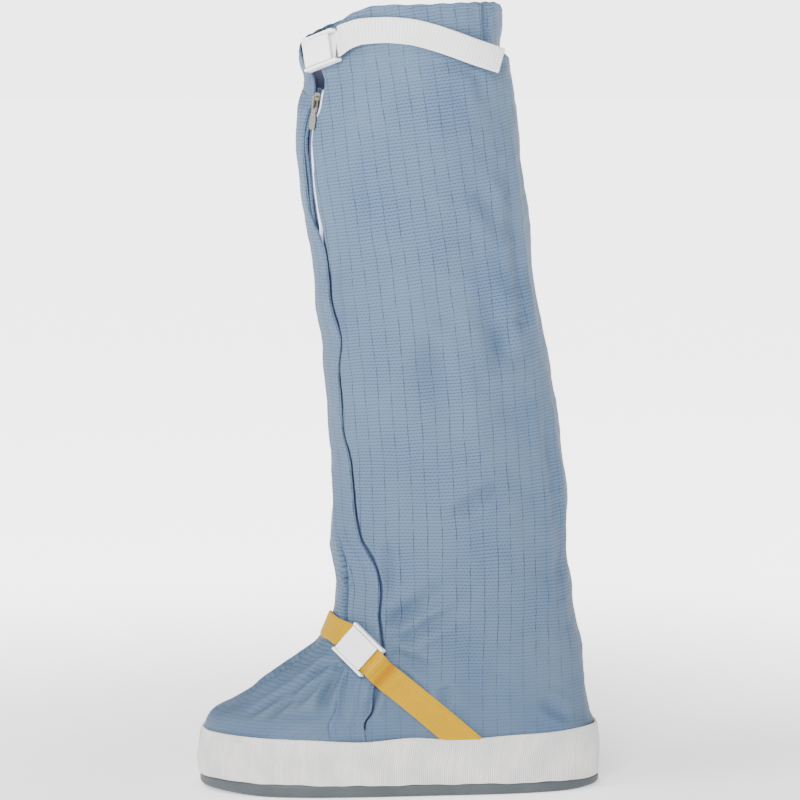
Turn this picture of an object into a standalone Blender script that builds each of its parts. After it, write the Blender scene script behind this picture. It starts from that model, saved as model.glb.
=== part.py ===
"""Knee-high cleanroom overboot for the left foot, standing empty on its sole.

The toe points to -X, the heel to +X and the outer side of the foot to -Y. The floor is z = 0 and the
origin is under the middle of the sole's length. Metres, +Z up.

The upper's outer face is one function of height and of the distance round it from the nose, and every
piece that lies on it is worked out from that function.
"""

import math

import bmesh
import bpy
import numpy as np
from mathutils import Matrix, Vector

# Driving sizes
SOLE_LENGTH = 0.2890
BALL_WIDTH = 0.1130
BOOT_HEIGHT = 0.5640
INSTEP_HEIGHT = 0.1050
SHAFT_DEPTH = 0.1660
SHAFT_WIDTH = 0.1240
TOE_SWING = 0.0060
WALL = 0.0015
CLEARANCE = 0.0004

SOLE_THICKNESS = 0.0130
SOLE_EDGE = 0.0088
SOLE_ROUND = 0.0030
TOE_SPRING = 0.0026
HEEL_SPRING = 0.0016
ARCH_DEPTH = 0.0016
ARCH_FADE = 0.0720
TREAD_DEPTH = 0.0016
TREAD_WIDTH = 0.0050
TREAD_PITCH = 0.0125
INSOLE_THICKNESS = 0.0030
INSOLE_PLAY = 0.0020

BAND_HEIGHT = 0.0330
BAND_THICKNESS = 0.0018
BAND_PROUD = 0.0008

CASING_HEIGHT = 0.0420
CASING_STEP = 0.0006
COLLAR_DROOP = 0.0240
COLLAR_DROOP_REACH = 0.0380

CHAIN_WIDTH = 0.0052
CHAIN_THICKNESS = 0.0022
TAPE_WIDTH = 0.0110
TAPE_THICKNESS = 0.0008
ZIP_PARTING = 0.0048
SLIDER_DROP = 0.0355
SLIDER_LENGTH = 0.0125
SLIDER_WIDTH = 0.0088
SLIDER_PLATE = 0.0010
BRIDGE_HALF = 0.0040
BRIDGE_BAR = 0.0011
BRIDGE_HEIGHT = 0.0034
BRIDGE_WIDTH = 0.0016
PIVOT_HEIGHT = 0.0012
PULL_LENGTH = 0.0200
PULL_WIDTH = 0.0066
PULL_THICKNESS = 0.0012

FLAP_WIDTH = 0.0260
FLAP_THICKNESS = 0.0018
FLAP_LAP = 0.0070
FLAP_TURN_BACK = 0.0058
FLAP_TURNED_BACK = 0.1590
FLAP_TURN_REACH = 0.0300
FLAP_BELOW_CASING = 0.0130

WEBBING_THICKNESS = 0.0014
ANKLE_WEBBING = 0.0200
COLLAR_WEBBING = 0.0180
TAIL_LIFT = 0.0045

BUCKLE_LENGTH = 0.0300
BUCKLE_WALL = 0.0022
BUCKLE_BASE = 0.0014
BUCKLE_HEIGHT = 0.0072
LEVER_THICKNESS = 0.0026
BUCKLE_SIDE_PLAY = 0.0006
BUCKLE_ROUND = 0.0005
LEVER_LENGTH = 0.0252
LEVER_SETBACK = 0.0015
COLLAR_BUCKLE_DROP = 0.0350
COLLAR_BUCKLE_ASIDE = 0.0110
COLLAR_BUCKLE_SLOPE = math.radians(17)
ANKLE_BUCKLE_SLOPE = math.radians(-39)

HALF_SOLE = SOLE_LENGTH / 2
HALF_BALL = BALL_WIDTH / 2
SHAFT_HEIGHT = BOOT_HEIGHT - INSTEP_HEIGHT
CASING_FOOT = BOOT_HEIGHT - CASING_HEIGHT
UPPER_FOOT = SOLE_THICKNESS + CLEARANCE
COLLAR_BUCKLE_HEIGHT = BOOT_HEIGHT - COLLAR_BUCKLE_DROP
SLIDER_HEIGHT = COLLAR_BUCKLE_HEIGHT - SLIDER_DROP
OUTLINE_SAMPLES = 720
OUTER = 1
INNER = -1


def table(columns, rows):
    """A table's columns by name; the first one is what the others are read against."""
    return dict(zip(columns.split(), np.array(rows, float).T))


# The foot: height as a share of the instep's, front, back and widest point as shares of half the sole, half
# width as a share of half the ball's, bluntness of the two ends, and the waist's pinch as a share
FOOT = table(
    "height front back half widest blunt_front blunt_back waist",
    [
        (0.00, 0.989, 0.989, 0.965, -0.36, 2.40, 2.80, 1.0),
        (0.16, 0.990, 0.984, 0.975, -0.36, 2.40, 2.80, 1.0),
        (0.30, 0.979, 0.985, 0.970, -0.36, 2.40, 2.75, 0.9),
        (0.43, 0.969, 0.976, 0.955, -0.34, 2.40, 2.65, 0.8),
        (0.50, 0.944, 0.952, 0.935, -0.31, 2.35, 2.55, 0.7),
        (0.58, 0.846, 0.938, 0.895, -0.24, 2.30, 2.50, 0.6),
        (0.72, 0.692, 0.926, 0.850, -0.08, 2.25, 2.40, 0.4),
        (0.86, 0.537, 0.916, 0.850, 0.10, 2.20, 2.35, 0.2),
        (1.00, 0.404, 0.901, 0.885, 0.20, 2.15, 2.30, 0.0),
    ],
)

# The shaft: height as a share of its own above the instep, setback of its back from the heel's end and
# depth from front to back as shares of the shaft's depth, width as a share of the shaft's
SHAFT = table(
    "height setback depth width",
    [
        (0.032, 0.104, 1.070, 0.860),
        (0.063, 0.113, 1.043, 0.880),
        (0.095, 0.119, 1.033, 0.895),
        (0.126, 0.136, 1.029, 0.910),
        (0.158, 0.141, 1.034, 0.925),
        (0.221, 0.142, 1.014, 0.955),
        (0.284, 0.160, 0.997, 0.980),
        (0.347, 0.174, 0.999, 1.000),
        (0.410, 0.200, 0.990, 1.005),
        (0.473, 0.236, 0.971, 1.000),
        (0.535, 0.275, 0.949, 0.990),
        (0.598, 0.301, 0.931, 0.985),
        (0.660, 0.301, 0.960, 0.980),
        (0.722, 0.323, 0.964, 0.980),
        (0.784, 0.350, 0.950, 0.980),
        (0.846, 0.376, 0.915, 0.980),
        (0.880, 0.391, 0.885, 0.975),
        (0.910, 0.404, 0.895, 0.960),
        (0.930, 0.444, 0.848, 0.940),
        (0.957, 0.436, 0.840, 0.945),
        (1.000, 0.430, 0.845, 0.950),
    ],
)
SHAFT_WIDEST = 0.50
SHAFT_BLUNT = 2.15

# The groove at the flap's free edge: height as a share of the boot's, and its distance behind the front as
# a share of the section's depth
GROOVE = table(
    "height behind",
    [
        (0.060, 0.405),
        (0.105, 0.385),
        (0.132, 0.339),
        (0.170, 0.262),
        (0.208, 0.196),
        (0.234, 0.174),
        (0.283, 0.178),
        (0.310, 0.147),
        (0.324, 0.120),
        (0.364, 0.083),
        (0.413, 0.072),
        (0.468, 0.055),
        (0.529, 0.060),
        (0.578, 0.084),
        (0.611, 0.066),
        (0.658, 0.054),
        (0.711, 0.044),
        (0.740, 0.032),
        (0.808, 0.036),
        (0.839, 0.041),
        (0.875, 0.066),
        (0.905, 0.063),
        (1.000, 0.060),
    ],
)

# The sole's ledge under the band: place from toe to heel, and height as a share of the sole's edge
LEDGE = table("place height", [(0.00, 1.24), (0.20, 1.10), (0.40, 1.00), (0.62, 0.98), (0.80, 0.92), (1.00, 0.88)])
# The band's upper edge: place from toe to heel, and rise as a share of the band's height
BAND_TOP = table(
    "place rise",
    [(0.00, 0.03), (0.15, 0.02), (0.38, -0.05), (0.52, 0.01), (0.62, -0.03), (0.80, 0.02), (1.00, 0.10)],
)
# The tail of the collar strap: place as a share of the shaft's depth, drop of its middle below the top as
# a share of its width, and how far it stands off the shaft as a share of the tail's lift
TAIL = table(
    "place drop stand",
    [
        (-0.300, 1.640, 1.00),
        (-0.184, 1.190, 0.45),
        (-0.086, 1.130, 0.25),
        (0.011, 1.190, 0.25),
        (0.107, 1.390, 0.25),
        (0.204, 1.680, 0.30),
        (0.300, 2.000, 0.55),
        (0.411, 2.330, 1.10),
    ],
)
# Past this place, as a share of the shaft's depth, the tail follows the shaft's curve only in part
TAIL_LEAVES = 0.12
TAIL_FOLLOWS = 0.72
# The ankle strap's two edges on a side, from the buckle down to the band: place as a share of half the
# sole, and height as a share of the instep's
ANKLE_EDGES = {
    "upper": ((-0.135, 1.000), (0.390, 0.3867)),
    "lower": ((-0.216, 0.844), (0.180, 0.3867)),
}
ANKLE_BUCKLE = (-0.200, 0.985)
ANKLE_FRONT = (1.205, 1.035)

# Tread grooves under the ball and under the heel: the first one's place as a share of half the sole, and how many
TREAD = table("place count", [(-0.62, 6), (0.58, 4)])
# The slider's plate from its foot up, and the pull tab from below its eye down: place as a share of half the
# plate's length or of the tab's whole length, and half width as a share of its own
PLATE_OUTLINE = table("place half", [(-1.00, 0.62), (-0.20, 0.78), (0.45, 1.00), (1.00, 0.55)])
TAB_OUTLINE = table("place half", [(0.42, 0.72), (0.58, 1.00), (0.94, 1.00), (1.00, 0.70)])
TAB_EYE = 0.80

COLOURS = {
    "fabric": ((0.30, 0.38, 0.49), 0.85, 0.0),
    "flap": ((0.27, 0.35, 0.46), 0.85, 0.0),
    "band": ((0.68, 0.67, 0.66), 0.90, 0.0),
    "sole": ((0.20, 0.23, 0.24), 0.70, 0.0),
    "insole": ((0.45, 0.46, 0.47), 0.90, 0.0),
    "zip": ((0.05, 0.07, 0.14), 0.80, 0.0),
    "slider": ((0.55, 0.55, 0.53), 0.30, 1.0),
    "white_webbing": ((0.78, 0.78, 0.76), 0.85, 0.0),
    "yellow_webbing": ((0.90, 0.45, 0.01), 0.80, 0.0),
    "plastic": ((0.82, 0.82, 0.83), 0.35, 0.0),
}


def material(name):
    """A Principled material of the given finish."""
    found = bpy.data.materials.get(name)
    if found:
        return found
    colour, roughness, metallic = COLOURS[name]
    made = bpy.data.materials.new(name)
    made.use_nodes = True
    shader = made.node_tree.nodes["Principled BSDF"]
    shader.inputs["Base Color"].default_value = (*colour, 1.0)
    shader.inputs["Roughness"].default_value = roughness
    shader.inputs["Metallic"].default_value = metallic
    made.diffuse_color = (*colour, 1.0)
    return made


def smooth(rows, column, at):
    """A table's column, joined by a curve that never overshoots its rows."""
    xs = next(iter(rows.values()))
    ys = rows[column]
    at = np.clip(at, xs[0], xs[-1])
    steps = np.diff(xs)
    rises = np.diff(ys) / steps
    slopes = np.zeros(len(xs))
    slopes[0] = rises[0]
    slopes[-1] = rises[-1]
    same = rises[:-1] * rises[1:] > 0
    product = 2 * rises[:-1] * rises[1:]
    total = np.where(same, rises[:-1] + rises[1:], 1.0)
    slopes[1:-1] = np.where(same, product / total, 0.0)
    cell = np.clip(np.searchsorted(xs, at, side="right") - 1, 0, len(xs) - 2)
    u = (at - xs[cell]) / steps[cell]
    start = (1 + 2 * u) * (1 - u) ** 2 * ys[cell] + u * (1 - u) ** 2 * steps[cell] * slopes[cell]
    end = u * u * (3 - 2 * u) * ys[cell + 1] + u * u * (u - 1) * steps[cell] * slopes[cell + 1]
    return start + end


def ease(value):
    """0 below 0, 1 above 1, and a smooth rise between."""
    held = min(max(value, 0.0), 1.0)
    return held * held * (3 - 2 * held)


def section_table():
    """The upper's sections in metres, foot below and shaft above."""
    back = HALF_SOLE - SHAFT_DEPTH * SHAFT["setback"]
    front = back - SHAFT_DEPTH * SHAFT["depth"]
    blunt = np.full(len(back), SHAFT_BLUNT)
    shaft = {
        "height": INSTEP_HEIGHT + SHAFT_HEIGHT * SHAFT["height"],
        "front": front,
        "back": back,
        "half": SHAFT_WIDTH / 2 * SHAFT["width"],
        "widest": front + (back - front) * SHAFT_WIDEST,
        "blunt_front": blunt,
        "blunt_back": blunt,
        "waist": np.zeros(len(back)),
    }
    foot = {
        "height": INSTEP_HEIGHT * FOOT["height"],
        "front": -HALF_SOLE * FOOT["front"],
        "back": HALF_SOLE * FOOT["back"],
        "half": HALF_BALL * FOOT["half"],
        "widest": HALF_SOLE * FOOT["widest"],
        "blunt_front": FOOT["blunt_front"],
        "blunt_back": FOOT["blunt_back"],
        "waist": FOOT["waist"],
    }
    return {column: np.concatenate([foot[column], shaft[column]]) for column in foot}


SECTIONS = section_table()
WAIST_PLACE = 0.16 * HALF_SOLE
WAIST_REACH = 0.34 * HALF_SOLE
WAIST_PINCH = {OUTER: 0.045, INNER: 0.115}
known_sections = {}


def section(height):
    """The upper's outer face at a height: x, y and length round it, from the nose over the outer side,
    the back and the inner side to the nose again."""
    key = round(height, 7)
    if key in known_sections:
        return known_sections[key]
    here = {column: float(smooth(SECTIONS, column, height)) for column in SECTIONS}
    step = CASING_STEP * ease((height - CASING_FOOT) / (4 * CASING_STEP))
    turn = np.linspace(0.0, 2 * math.pi, OUTLINE_SAMPLES + 1)
    ahead = np.cos(turn)
    aside = np.sin(turn)
    reach = step + np.where(ahead > 0, here["widest"] - here["front"], here["back"] - here["widest"])
    blunt = np.where(ahead > 0, here["blunt_front"], here["blunt_back"])
    x = here["widest"] - np.sign(ahead) * reach * np.abs(ahead) ** (2 / blunt)
    y = -np.sign(aside) * (here["half"] + step) * np.abs(aside) ** (2 / blunt)
    pinch = np.where(y < 0, WAIST_PINCH[OUTER], WAIST_PINCH[INNER]) * here["waist"]
    y = y * (1 - pinch * np.exp(-(((x - WAIST_PLACE) / WAIST_REACH) ** 2)))
    y = y + TOE_SWING * (np.minimum(x, 0.0) / HALF_SOLE) ** 2
    length = np.concatenate([[0.0], np.cumsum(np.hypot(np.diff(x), np.diff(y)))])
    known_sections[key] = (x, y, length)
    return known_sections[key]


def girth(height):
    return section(height)[2][-1]


def arc_at(height, x, side):
    """Distance round the section from the nose to a place on one side, less than 0 on the inner side."""
    xs, _, length = section(height)
    middle = OUTLINE_SAMPLES // 2
    if side == OUTER:
        return float(np.interp(x, xs[: middle + 1], length[: middle + 1]))
    return float(np.interp(x, xs[: middle - 1 : -1], length[: middle - 1 : -1] - length[-1]))


def back_arc(height):
    return section(height)[2][OUTLINE_SAMPLES // 2]


def on_upper(height, arc):
    x, y, length = section(height)
    place = arc % length[-1]
    return Vector((float(np.interp(place, length, x)), float(np.interp(place, length, y)), height))


def normal(height, arc):
    """The upper's outward normal."""
    probe = WALL
    round_it = on_upper(height, arc + probe) - on_upper(height, arc - probe)
    up_it = on_upper(height + probe, arc) - on_upper(height - probe, arc)
    return round_it.cross(up_it).normalized()


def lifted(height, arc, distance):
    return on_upper(height, arc) + normal(height, arc) * distance


def groove_arc(height):
    """The flap's free edge, or the middle of the bare zip above it, as a distance from the nose."""
    x, _, _ = section(height)
    front = float(x.min())
    depth = float(x.max()) - front
    share = float(smooth(GROOVE, "behind", height / BOOT_HEIGHT))
    return arc_at(height, front + share * depth, OUTER)


def covered(height):
    """1 where the flap hides the zip, 0 where it is turned back."""
    turns = BOOT_HEIGHT - FLAP_TURNED_BACK
    return ease((turns + FLAP_TURN_REACH / 2 - height) / FLAP_TURN_REACH)


def zip_arc(height):
    return groove_arc(height) - FLAP_LAP * covered(height)


def flap_edge_arc(height):
    return groove_arc(height) - FLAP_TURN_BACK * (1 - covered(height))


def parting(height):
    """Half the space between the two halves of the chain: closed below the slider."""
    opening = ease((height - SLIDER_HEIGHT) / (2 * SLIDER_LENGTH))
    return CLEARANCE / 2 + ZIP_PARTING * opening


def slit(height):
    """Half the width of the upper's opening for the zip."""
    return CHAIN_WIDTH / 2 + 2 * CLEARANCE + parting(height)


def place_share(x):
    return (x + HALF_SOLE) / SOLE_LENGTH


def band_top(x):
    rise = float(smooth(BAND_TOP, "rise", place_share(x)))
    return SOLE_EDGE + BAND_HEIGHT * (1 + rise)


def ledge(x):
    return SOLE_EDGE * float(smooth(LEDGE, "height", place_share(x)))


def add_object(name, mesh, finish, collection):
    made = bpy.data.objects.new(name, mesh)
    mesh.materials.append(material(finish))
    collection.objects.link(made)
    return made


def mesh_from(name, points, faces):
    """A mesh with its faces turned outwards."""
    mesh = bpy.data.meshes.new(name)
    mesh.from_pydata([tuple(point) for point in points], [], faces)
    mesh.validate()
    shape = bmesh.new()
    shape.from_mesh(mesh)
    bmesh.ops.recalc_face_normals(shape, faces=shape.faces)
    shape.to_mesh(mesh)
    shape.free()
    return mesh


def grid_faces(rows, columns, closed, left_out=()):
    """Quads of a grid whose points are numbered row by row."""
    faces = []
    last = columns if closed else columns - 1
    for row in range(rows - 1):
        for column in range(last):
            if (row, column) in left_out:
                continue
            beside = (column + 1) % columns
            faces.append(
                (
                    row * columns + column,
                    row * columns + beside,
                    (row + 1) * columns + beside,
                    (row + 1) * columns + column,
                )
            )
    return faces


def add_sheet(name, grid, thickness, finish, collection, closed=False, left_out=()):
    """An open sheet of points, thickened to its outer side, or inwards for a negative thickness."""
    points = [point for row in grid for point in row]
    mesh = bpy.data.meshes.new(name)
    faces = grid_faces(len(grid), len(grid[0]), closed, left_out)
    mesh.from_pydata([tuple(point) for point in points], [], faces)
    mesh.validate()
    made = add_object(name, mesh, finish, collection)
    shell = made.modifiers.new("wall", "SOLIDIFY")
    shell.thickness = abs(thickness)
    shell.offset = 1.0 if thickness > 0 else -1.0
    shell.use_even_offset = True
    shell.use_quality_normals = True
    mesh.shade_smooth()
    return made


def add_loft(name, rings, finish, collection):
    """A closed solid through rings of points, capped at both ends."""
    points = [point for ring in rings for point in ring]
    columns = len(rings[0])
    faces = grid_faces(len(rings), columns, True)
    faces.append(tuple(range(columns)))
    faces.append(tuple(range((len(rings) - 1) * columns, len(rings) * columns)))
    return add_object(name, mesh_from(name, points, faces), finish, collection)


def spread(start, end, count, crowded=0):
    """Places from start to end: even for 0, closer together at the start for 1 and at both ends for 2."""
    shares = np.arange(count) / count
    if crowded:
        shares = shares - CROWDING * np.sin(math.pi * crowded * shares) / (math.pi * crowded)
    return [start + (end - start) * float(share) for share in shares]


# Columns of the upper's grid: zip to back on the outer side, back to nose, nose to zip, and over the slit
COLUMNS = (14, 20, 10, 2)
CROWDING = 0.5


def column_arcs(height):
    """The arcs of the upper's columns at a height, rising once round from the zip's outer edge."""
    whole = girth(height)
    middle = zip_arc(height)
    half = slit(height)
    arcs = spread(middle + half, back_arc(height), COLUMNS[0], 2)
    arcs += spread(back_arc(height), whole, COLUMNS[1], 2)
    arcs += spread(whole, whole + middle - half, COLUMNS[2], 1)
    arcs += spread(whole + middle - half, whole + middle + half, COLUMNS[3])
    return arcs


def collar_fall(height, arc):
    """How far the collar droops towards the two corners beside the zip."""
    whole = girth(height)
    from_zip = (arc - zip_arc(height)) % whole
    distance = max(min(from_zip, whole - from_zip) - slit(height), 0.0)
    fades = ease((height - (BOOT_HEIGHT - 3 * CASING_HEIGHT)) / (3 * CASING_HEIGHT))
    return COLLAR_DROOP * math.exp(-distance / COLLAR_DROOP_REACH) * fades


def fallen(height, arc):
    """A row's height after the collar's droop."""
    return height - collar_fall(height, arc)


# Where the foot's top slopes, as shares of the instep's height, and the rows spent on each stretch
SLOPE_ROWS = {"foot": 0.42, "top": 1.32}
ROW_COUNTS = {"foot": 3, "slope": 14, "shaft": 12, "collar": 8}


def upper_rows():
    """Heights of the upper's rows, close together where the foot's top slopes and at the collar."""
    slope_foot = SLOPE_ROWS["foot"] * INSTEP_HEIGHT
    slope_top = SLOPE_ROWS["top"] * INSTEP_HEIGHT
    collar_foot = CASING_FOOT - CASING_HEIGHT
    low = np.linspace(UPPER_FOOT, slope_foot, ROW_COUNTS["foot"], endpoint=False)
    slope = np.linspace(slope_foot, slope_top, ROW_COUNTS["slope"], endpoint=False)
    ankle = np.linspace(slope_top, collar_foot, ROW_COUNTS["shaft"], endpoint=False)
    collar = np.linspace(collar_foot, BOOT_HEIGHT, ROW_COUNTS["collar"])
    return [float(height) for height in np.concatenate([low, slope, ankle, collar])]


def make_upper(collection):
    rows = upper_rows()
    slit_foot = band_top(-HALF_SOLE * 0.2) + BAND_HEIGHT * 0.10
    slit_row = min(index for index, height in enumerate(rows) if height > slit_foot)
    grid = []
    for height in rows:
        line = []
        for index, arc in enumerate(column_arcs(height)):
            own = fallen(height, arc)
            line.append(on_upper(own, column_arcs(own)[index]))
        grid.append(line)
    columns = len(grid[0])
    first = columns - COLUMNS[3]
    left_out = {(row, column) for row in range(slit_row, len(rows)) for column in range(first, columns)}
    upper = add_sheet("upper", grid, -WALL, "fabric", collection, closed=True, left_out=left_out)
    return upper, rows[slit_row]


def make_band(collection):
    """Woven tape round the foot: its lower edge on the sole's ledge, its upper edge slightly wavy."""
    grid = []
    for share in np.linspace(0.0, 1.0, 5):
        line = []
        for index in range(len(column_arcs(UPPER_FOOT)) - COLUMNS[3] + 1):
            guess = on_upper(UPPER_FOOT, column_arcs(UPPER_FOOT)[index])
            foot = ledge(guess.x) + CLEARANCE
            height = foot + (band_top(guess.x) - foot) * float(share)
            line.append(lifted(height, column_arcs(height)[index], CLEARANCE))
        grid.append(line)
    return add_sheet("sole_band", grid, BAND_THICKNESS, "band", collection, closed=True)


def sole_outline(inset):
    """Stations of the sole from toe to heel: x with the y of both sides, moved in from the band's foot."""
    x, y, _ = section(0.0)
    middle = OUTLINE_SAMPLES // 2
    across = np.gradient(x)
    along = np.gradient(y)
    size = np.hypot(across, along)
    size[0] = size[-1] = 1.0
    out_x = along / size
    out_y = -across / size
    out_x[0] = out_x[-1] = -1.0
    out_y[0] = out_y[-1] = 0.0
    sign = 1.0 if out_x[middle] > 0 else -1.0
    out_x[1:-1] *= sign
    out_y[1:-1] *= sign
    return x - out_x * inset, y - out_y * inset


def flush_inset():
    """The sole's edge lies just inside the band's outer face."""
    return -(CLEARANCE + BAND_THICKNESS - BAND_PROUD)


SOLE_STATIONS = 26


def bottom_height(x):
    """The tread's height above the floor: raised at the toe and at the heel's end."""
    share = place_share(x)
    toe = TOE_SPRING * ease((0.17 - share) / 0.17)
    heel = HEEL_SPRING * ease((share - 0.90) / 0.10)
    return toe + heel


def sole_ring(inset, height_at):
    """A ring of the sole, outer side from toe to heel and back along the inner side."""
    xs, ys = sole_outline(inset)
    middle = OUTLINE_SAMPLES // 2
    centre = (xs[0] + xs[middle]) / 2
    reach = (xs[middle] - xs[0]) / 2
    ring = []
    for index in range(2 * SOLE_STATIONS):
        x = float(centre - reach * math.cos(math.pi * index / SOLE_STATIONS))
        if index <= SOLE_STATIONS:
            y = np.interp(x, xs[: middle + 1], ys[: middle + 1])
        else:
            y = np.interp(x, xs[: middle - 1 : -1], ys[: middle - 1 : -1])
        ring.append(Vector((x, float(y), height_at(x))))
    return ring


def arch(x):
    """1 under the middle of the foot, 0 under the ball and the heel."""
    share = place_share(x)
    return ease((share - 0.46) / 0.08) * ease((0.74 - share) / 0.08)


def make_outsole(collection):
    """Moulded sole: rolled lower edge, ledge under the band, and a top that the upper stands on."""
    flush = flush_inset()
    tucked = 3 * CLEARANCE
    rings = [
        sole_ring(flush + SOLE_ROUND, bottom_height),
        sole_ring(flush + SOLE_ROUND * 0.3, lambda x: bottom_height(x) + SOLE_ROUND * 0.3),
        sole_ring(flush, lambda x: bottom_height(x) + SOLE_ROUND),
        sole_ring(flush, ledge),
        sole_ring(tucked, ledge),
        sole_ring(tucked, lambda x: SOLE_THICKNESS),
    ]
    count = len(rings[0])
    points = [point for ring in rings for point in ring]
    faces = grid_faces(len(rings), count, True)
    half = count // 2
    top = (len(rings) - 1) * count
    shares = (0.16, 0.5, 0.84)
    inner_bottom = {}
    for station in range(1, half):
        outer_point = rings[0][station]
        inner_point = rings[0][count - station]
        for order, share in enumerate(shares):
            point = outer_point.lerp(inner_point, share)
            narrow = min((outer_point - inner_point).length / ARCH_FADE, 1.0)
            point.z = bottom_height(point.x) + ARCH_DEPTH * arch(point.x) * narrow
            inner_bottom[station, order] = len(points)
            points.append(point)
    for station in range(1, half - 1):
        ladder = [station, *(inner_bottom[station, order] for order in range(3)), count - station]
        after = [station + 1, *(inner_bottom[station + 1, order] for order in range(3)), count - station - 1]
        for order in range(4):
            faces.append((ladder[order], ladder[order + 1], after[order + 1], after[order]))
        faces.append((top + station, top + station + 1, top + count - station - 1, top + count - station))
    for tip, beside in ((0, 1), (half, half - 1)):
        ladder = [beside, *(inner_bottom[beside, order] for order in range(3)), count - beside]
        for order in range(4):
            faces.append((tip, ladder[order], ladder[order + 1]))
        faces.append((top + tip, top + beside, top + count - beside))
    return add_object("outsole", mesh_from("outsole", points, faces), "sole", collection)


def cut_tread(sole, cutters):
    """Blind grooves across the ball and the heel, stopping short of the rolled edge."""
    shape = bmesh.new()
    rows = []
    for place, count in zip(TREAD["place"], TREAD["count"]):
        rows += [place * HALF_SOLE + TREAD_PITCH * index for index in range(int(count))]
    for x in rows:
        outer, inner = tread_reach(x)
        width = inner - outer
        placed = Matrix.Translation((x, (outer + inner) / 2, 0.0))
        size = Matrix.Diagonal((TREAD_WIDTH, width, 2 * TREAD_DEPTH, 1.0))
        bmesh.ops.create_cube(shape, size=1.0, matrix=placed @ size)
    mesh = bpy.data.meshes.new("tread_cutter")
    shape.to_mesh(mesh)
    shape.free()
    cutter = bpy.data.objects.new("tread_cutter", mesh)
    cutter.hide_render = True
    cutter.display_type = "WIRE"
    cutters.objects.link(cutter)
    cut = sole.modifiers.new("tread", "BOOLEAN")
    cut.operation = "DIFFERENCE"
    cut.object = cutter


def tread_reach(x):
    """The y of a groove's two ends."""
    edge = 4.5 * SOLE_ROUND
    xs, ys = sole_outline(flush_inset())
    middle = OUTLINE_SAMPLES // 2
    outer = float(np.interp(x, xs[: middle + 1], ys[: middle + 1]))
    inner = float(np.interp(x, xs[: middle - 1 : -1], ys[: middle - 1 : -1]))
    return outer + edge, inner - edge


def make_insole(collection):
    """Flat board on the outsole, inside the upper."""
    inset = WALL + INSOLE_PLAY
    low = SOLE_THICKNESS + CLEARANCE
    rings = [
        sole_ring(inset, lambda x: low),
        sole_ring(inset, lambda x: low + INSOLE_THICKNESS),
    ]
    return add_loft("insole", rings, "insole", collection)


def rows_between(low, high):
    """The upper's own rows between two heights, with the two heights themselves."""
    spare = 0.25 * SOLE_THICKNESS
    inside = [height for height in upper_rows() if low + spare < height < high - spare]
    return [low, *inside, high]


def tape_depth():
    """How far the zip's tape lies behind the upper's outer face."""
    return WALL + 2 * CLEARANCE


def make_zip_tape(name, side, low, collection):
    """One tape of the zip with its half of the chain, behind the upper's edge."""
    behind = tape_depth()
    face = behind - CHAIN_THICKNESS
    rings = []
    for row in rows_between(low, CASING_FOOT - 2 * CLEARANCE):
        height = fallen(row, zip_arc(row))
        middle = zip_arc(height)
        near = parting(height)
        profile = (
            (near, behind + TAPE_THICKNESS),
            (near, face),
            (near + CHAIN_WIDTH / 2, face),
            (near + CHAIN_WIDTH / 2, behind),
            (near + TAPE_WIDTH, behind),
            (near + TAPE_WIDTH, behind + TAPE_THICKNESS),
        )
        rings.append([lifted(height, middle + side * away, -depth) for away, depth in profile])
    return add_loft(name, rings, "zip", collection)


def make_flap(collection):
    """Storm flap: a double strip over the zip, turned back beside the slider."""
    low = band_top(-HALF_SOLE * 0.2) + CLEARANCE
    high = CASING_FOOT - FLAP_BELOW_CASING
    grid = []
    for height in rows_between(low, high):
        line = []
        for across in np.linspace(1.0, 0.0, 6):
            arc = flap_edge_arc(height) - FLAP_WIDTH * float(across)
            own = fallen(height, arc)
            if height == low:
                own = band_top(on_upper(height, arc).x) + CLEARANCE
            line.append(lifted(own, flap_edge_arc(own) - FLAP_WIDTH * float(across), 2 * CLEARANCE))
        grid.append(line)
    return add_sheet("zip_flap", grid, FLAP_THICKNESS, "flap", collection)


def clear_of_upper(point, gap):
    """The point, moved out sideways where it lies closer to the upper than the gap."""
    x, y, _ = section(point.z)
    nearest = int(np.argmin((x - point.x) ** 2 + (y - point.y) ** 2))
    before = (nearest - 1) % OUTLINE_SAMPLES
    after = (nearest + 1) % OUTLINE_SAMPLES
    out = Vector((y[after] - y[before], x[before] - x[after], 0.0)).normalized()
    distance = (point - Vector((x[nearest], y[nearest], point.z))).dot(out)
    return point + out * max(gap - distance, 0.0)


# Points across a strap
STRAP_POINTS = 4


def ribbon_line(upper_edge, lower_edge, gap):
    """Points across a strap between two places on the upper, each (height, arc), at a distance from it."""
    start = lifted(upper_edge[0], upper_edge[1], gap)
    end = lifted(lower_edge[0], lower_edge[1], gap)
    return [clear_of_upper(start.lerp(end, index / (STRAP_POINTS - 1)), gap) for index in range(STRAP_POINTS)]


def side_place(place, side):
    """A place given as shares of half the sole and of the instep's height, as (height, arc)."""
    height = INSTEP_HEIGHT * place[1]
    return height, arc_at(height, HALF_SOLE * place[0], side)


def mix(start, end, share):
    return tuple(first + (second - first) * share for first, second in zip(start, end))


def strap_down(side, steps, lift_at):
    """Lines of an ankle strap's straight run on one side, from the buckle's level down to the band."""
    lines = []
    for index in range(steps + 1):
        share = index / steps
        upper = mix(*ANKLE_EDGES["upper"], share)
        lower = mix(*ANKLE_EDGES["lower"], share)
        if index == steps:
            upper = (upper[0], (band_top(HALF_SOLE * upper[0]) + CLEARANCE) / INSTEP_HEIGHT)
            lower = (lower[0], (band_top(HALF_SOLE * lower[0]) + CLEARANCE) / INSTEP_HEIGHT)
        lines.append(ribbon_line(side_place(upper, side), side_place(lower, side), lift_at(share)))
    return lines


OVER_FLAP = FLAP_THICKNESS + 3 * CLEARANCE
ANKLE_SEAT = OVER_FLAP + CLEARANCE


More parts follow.
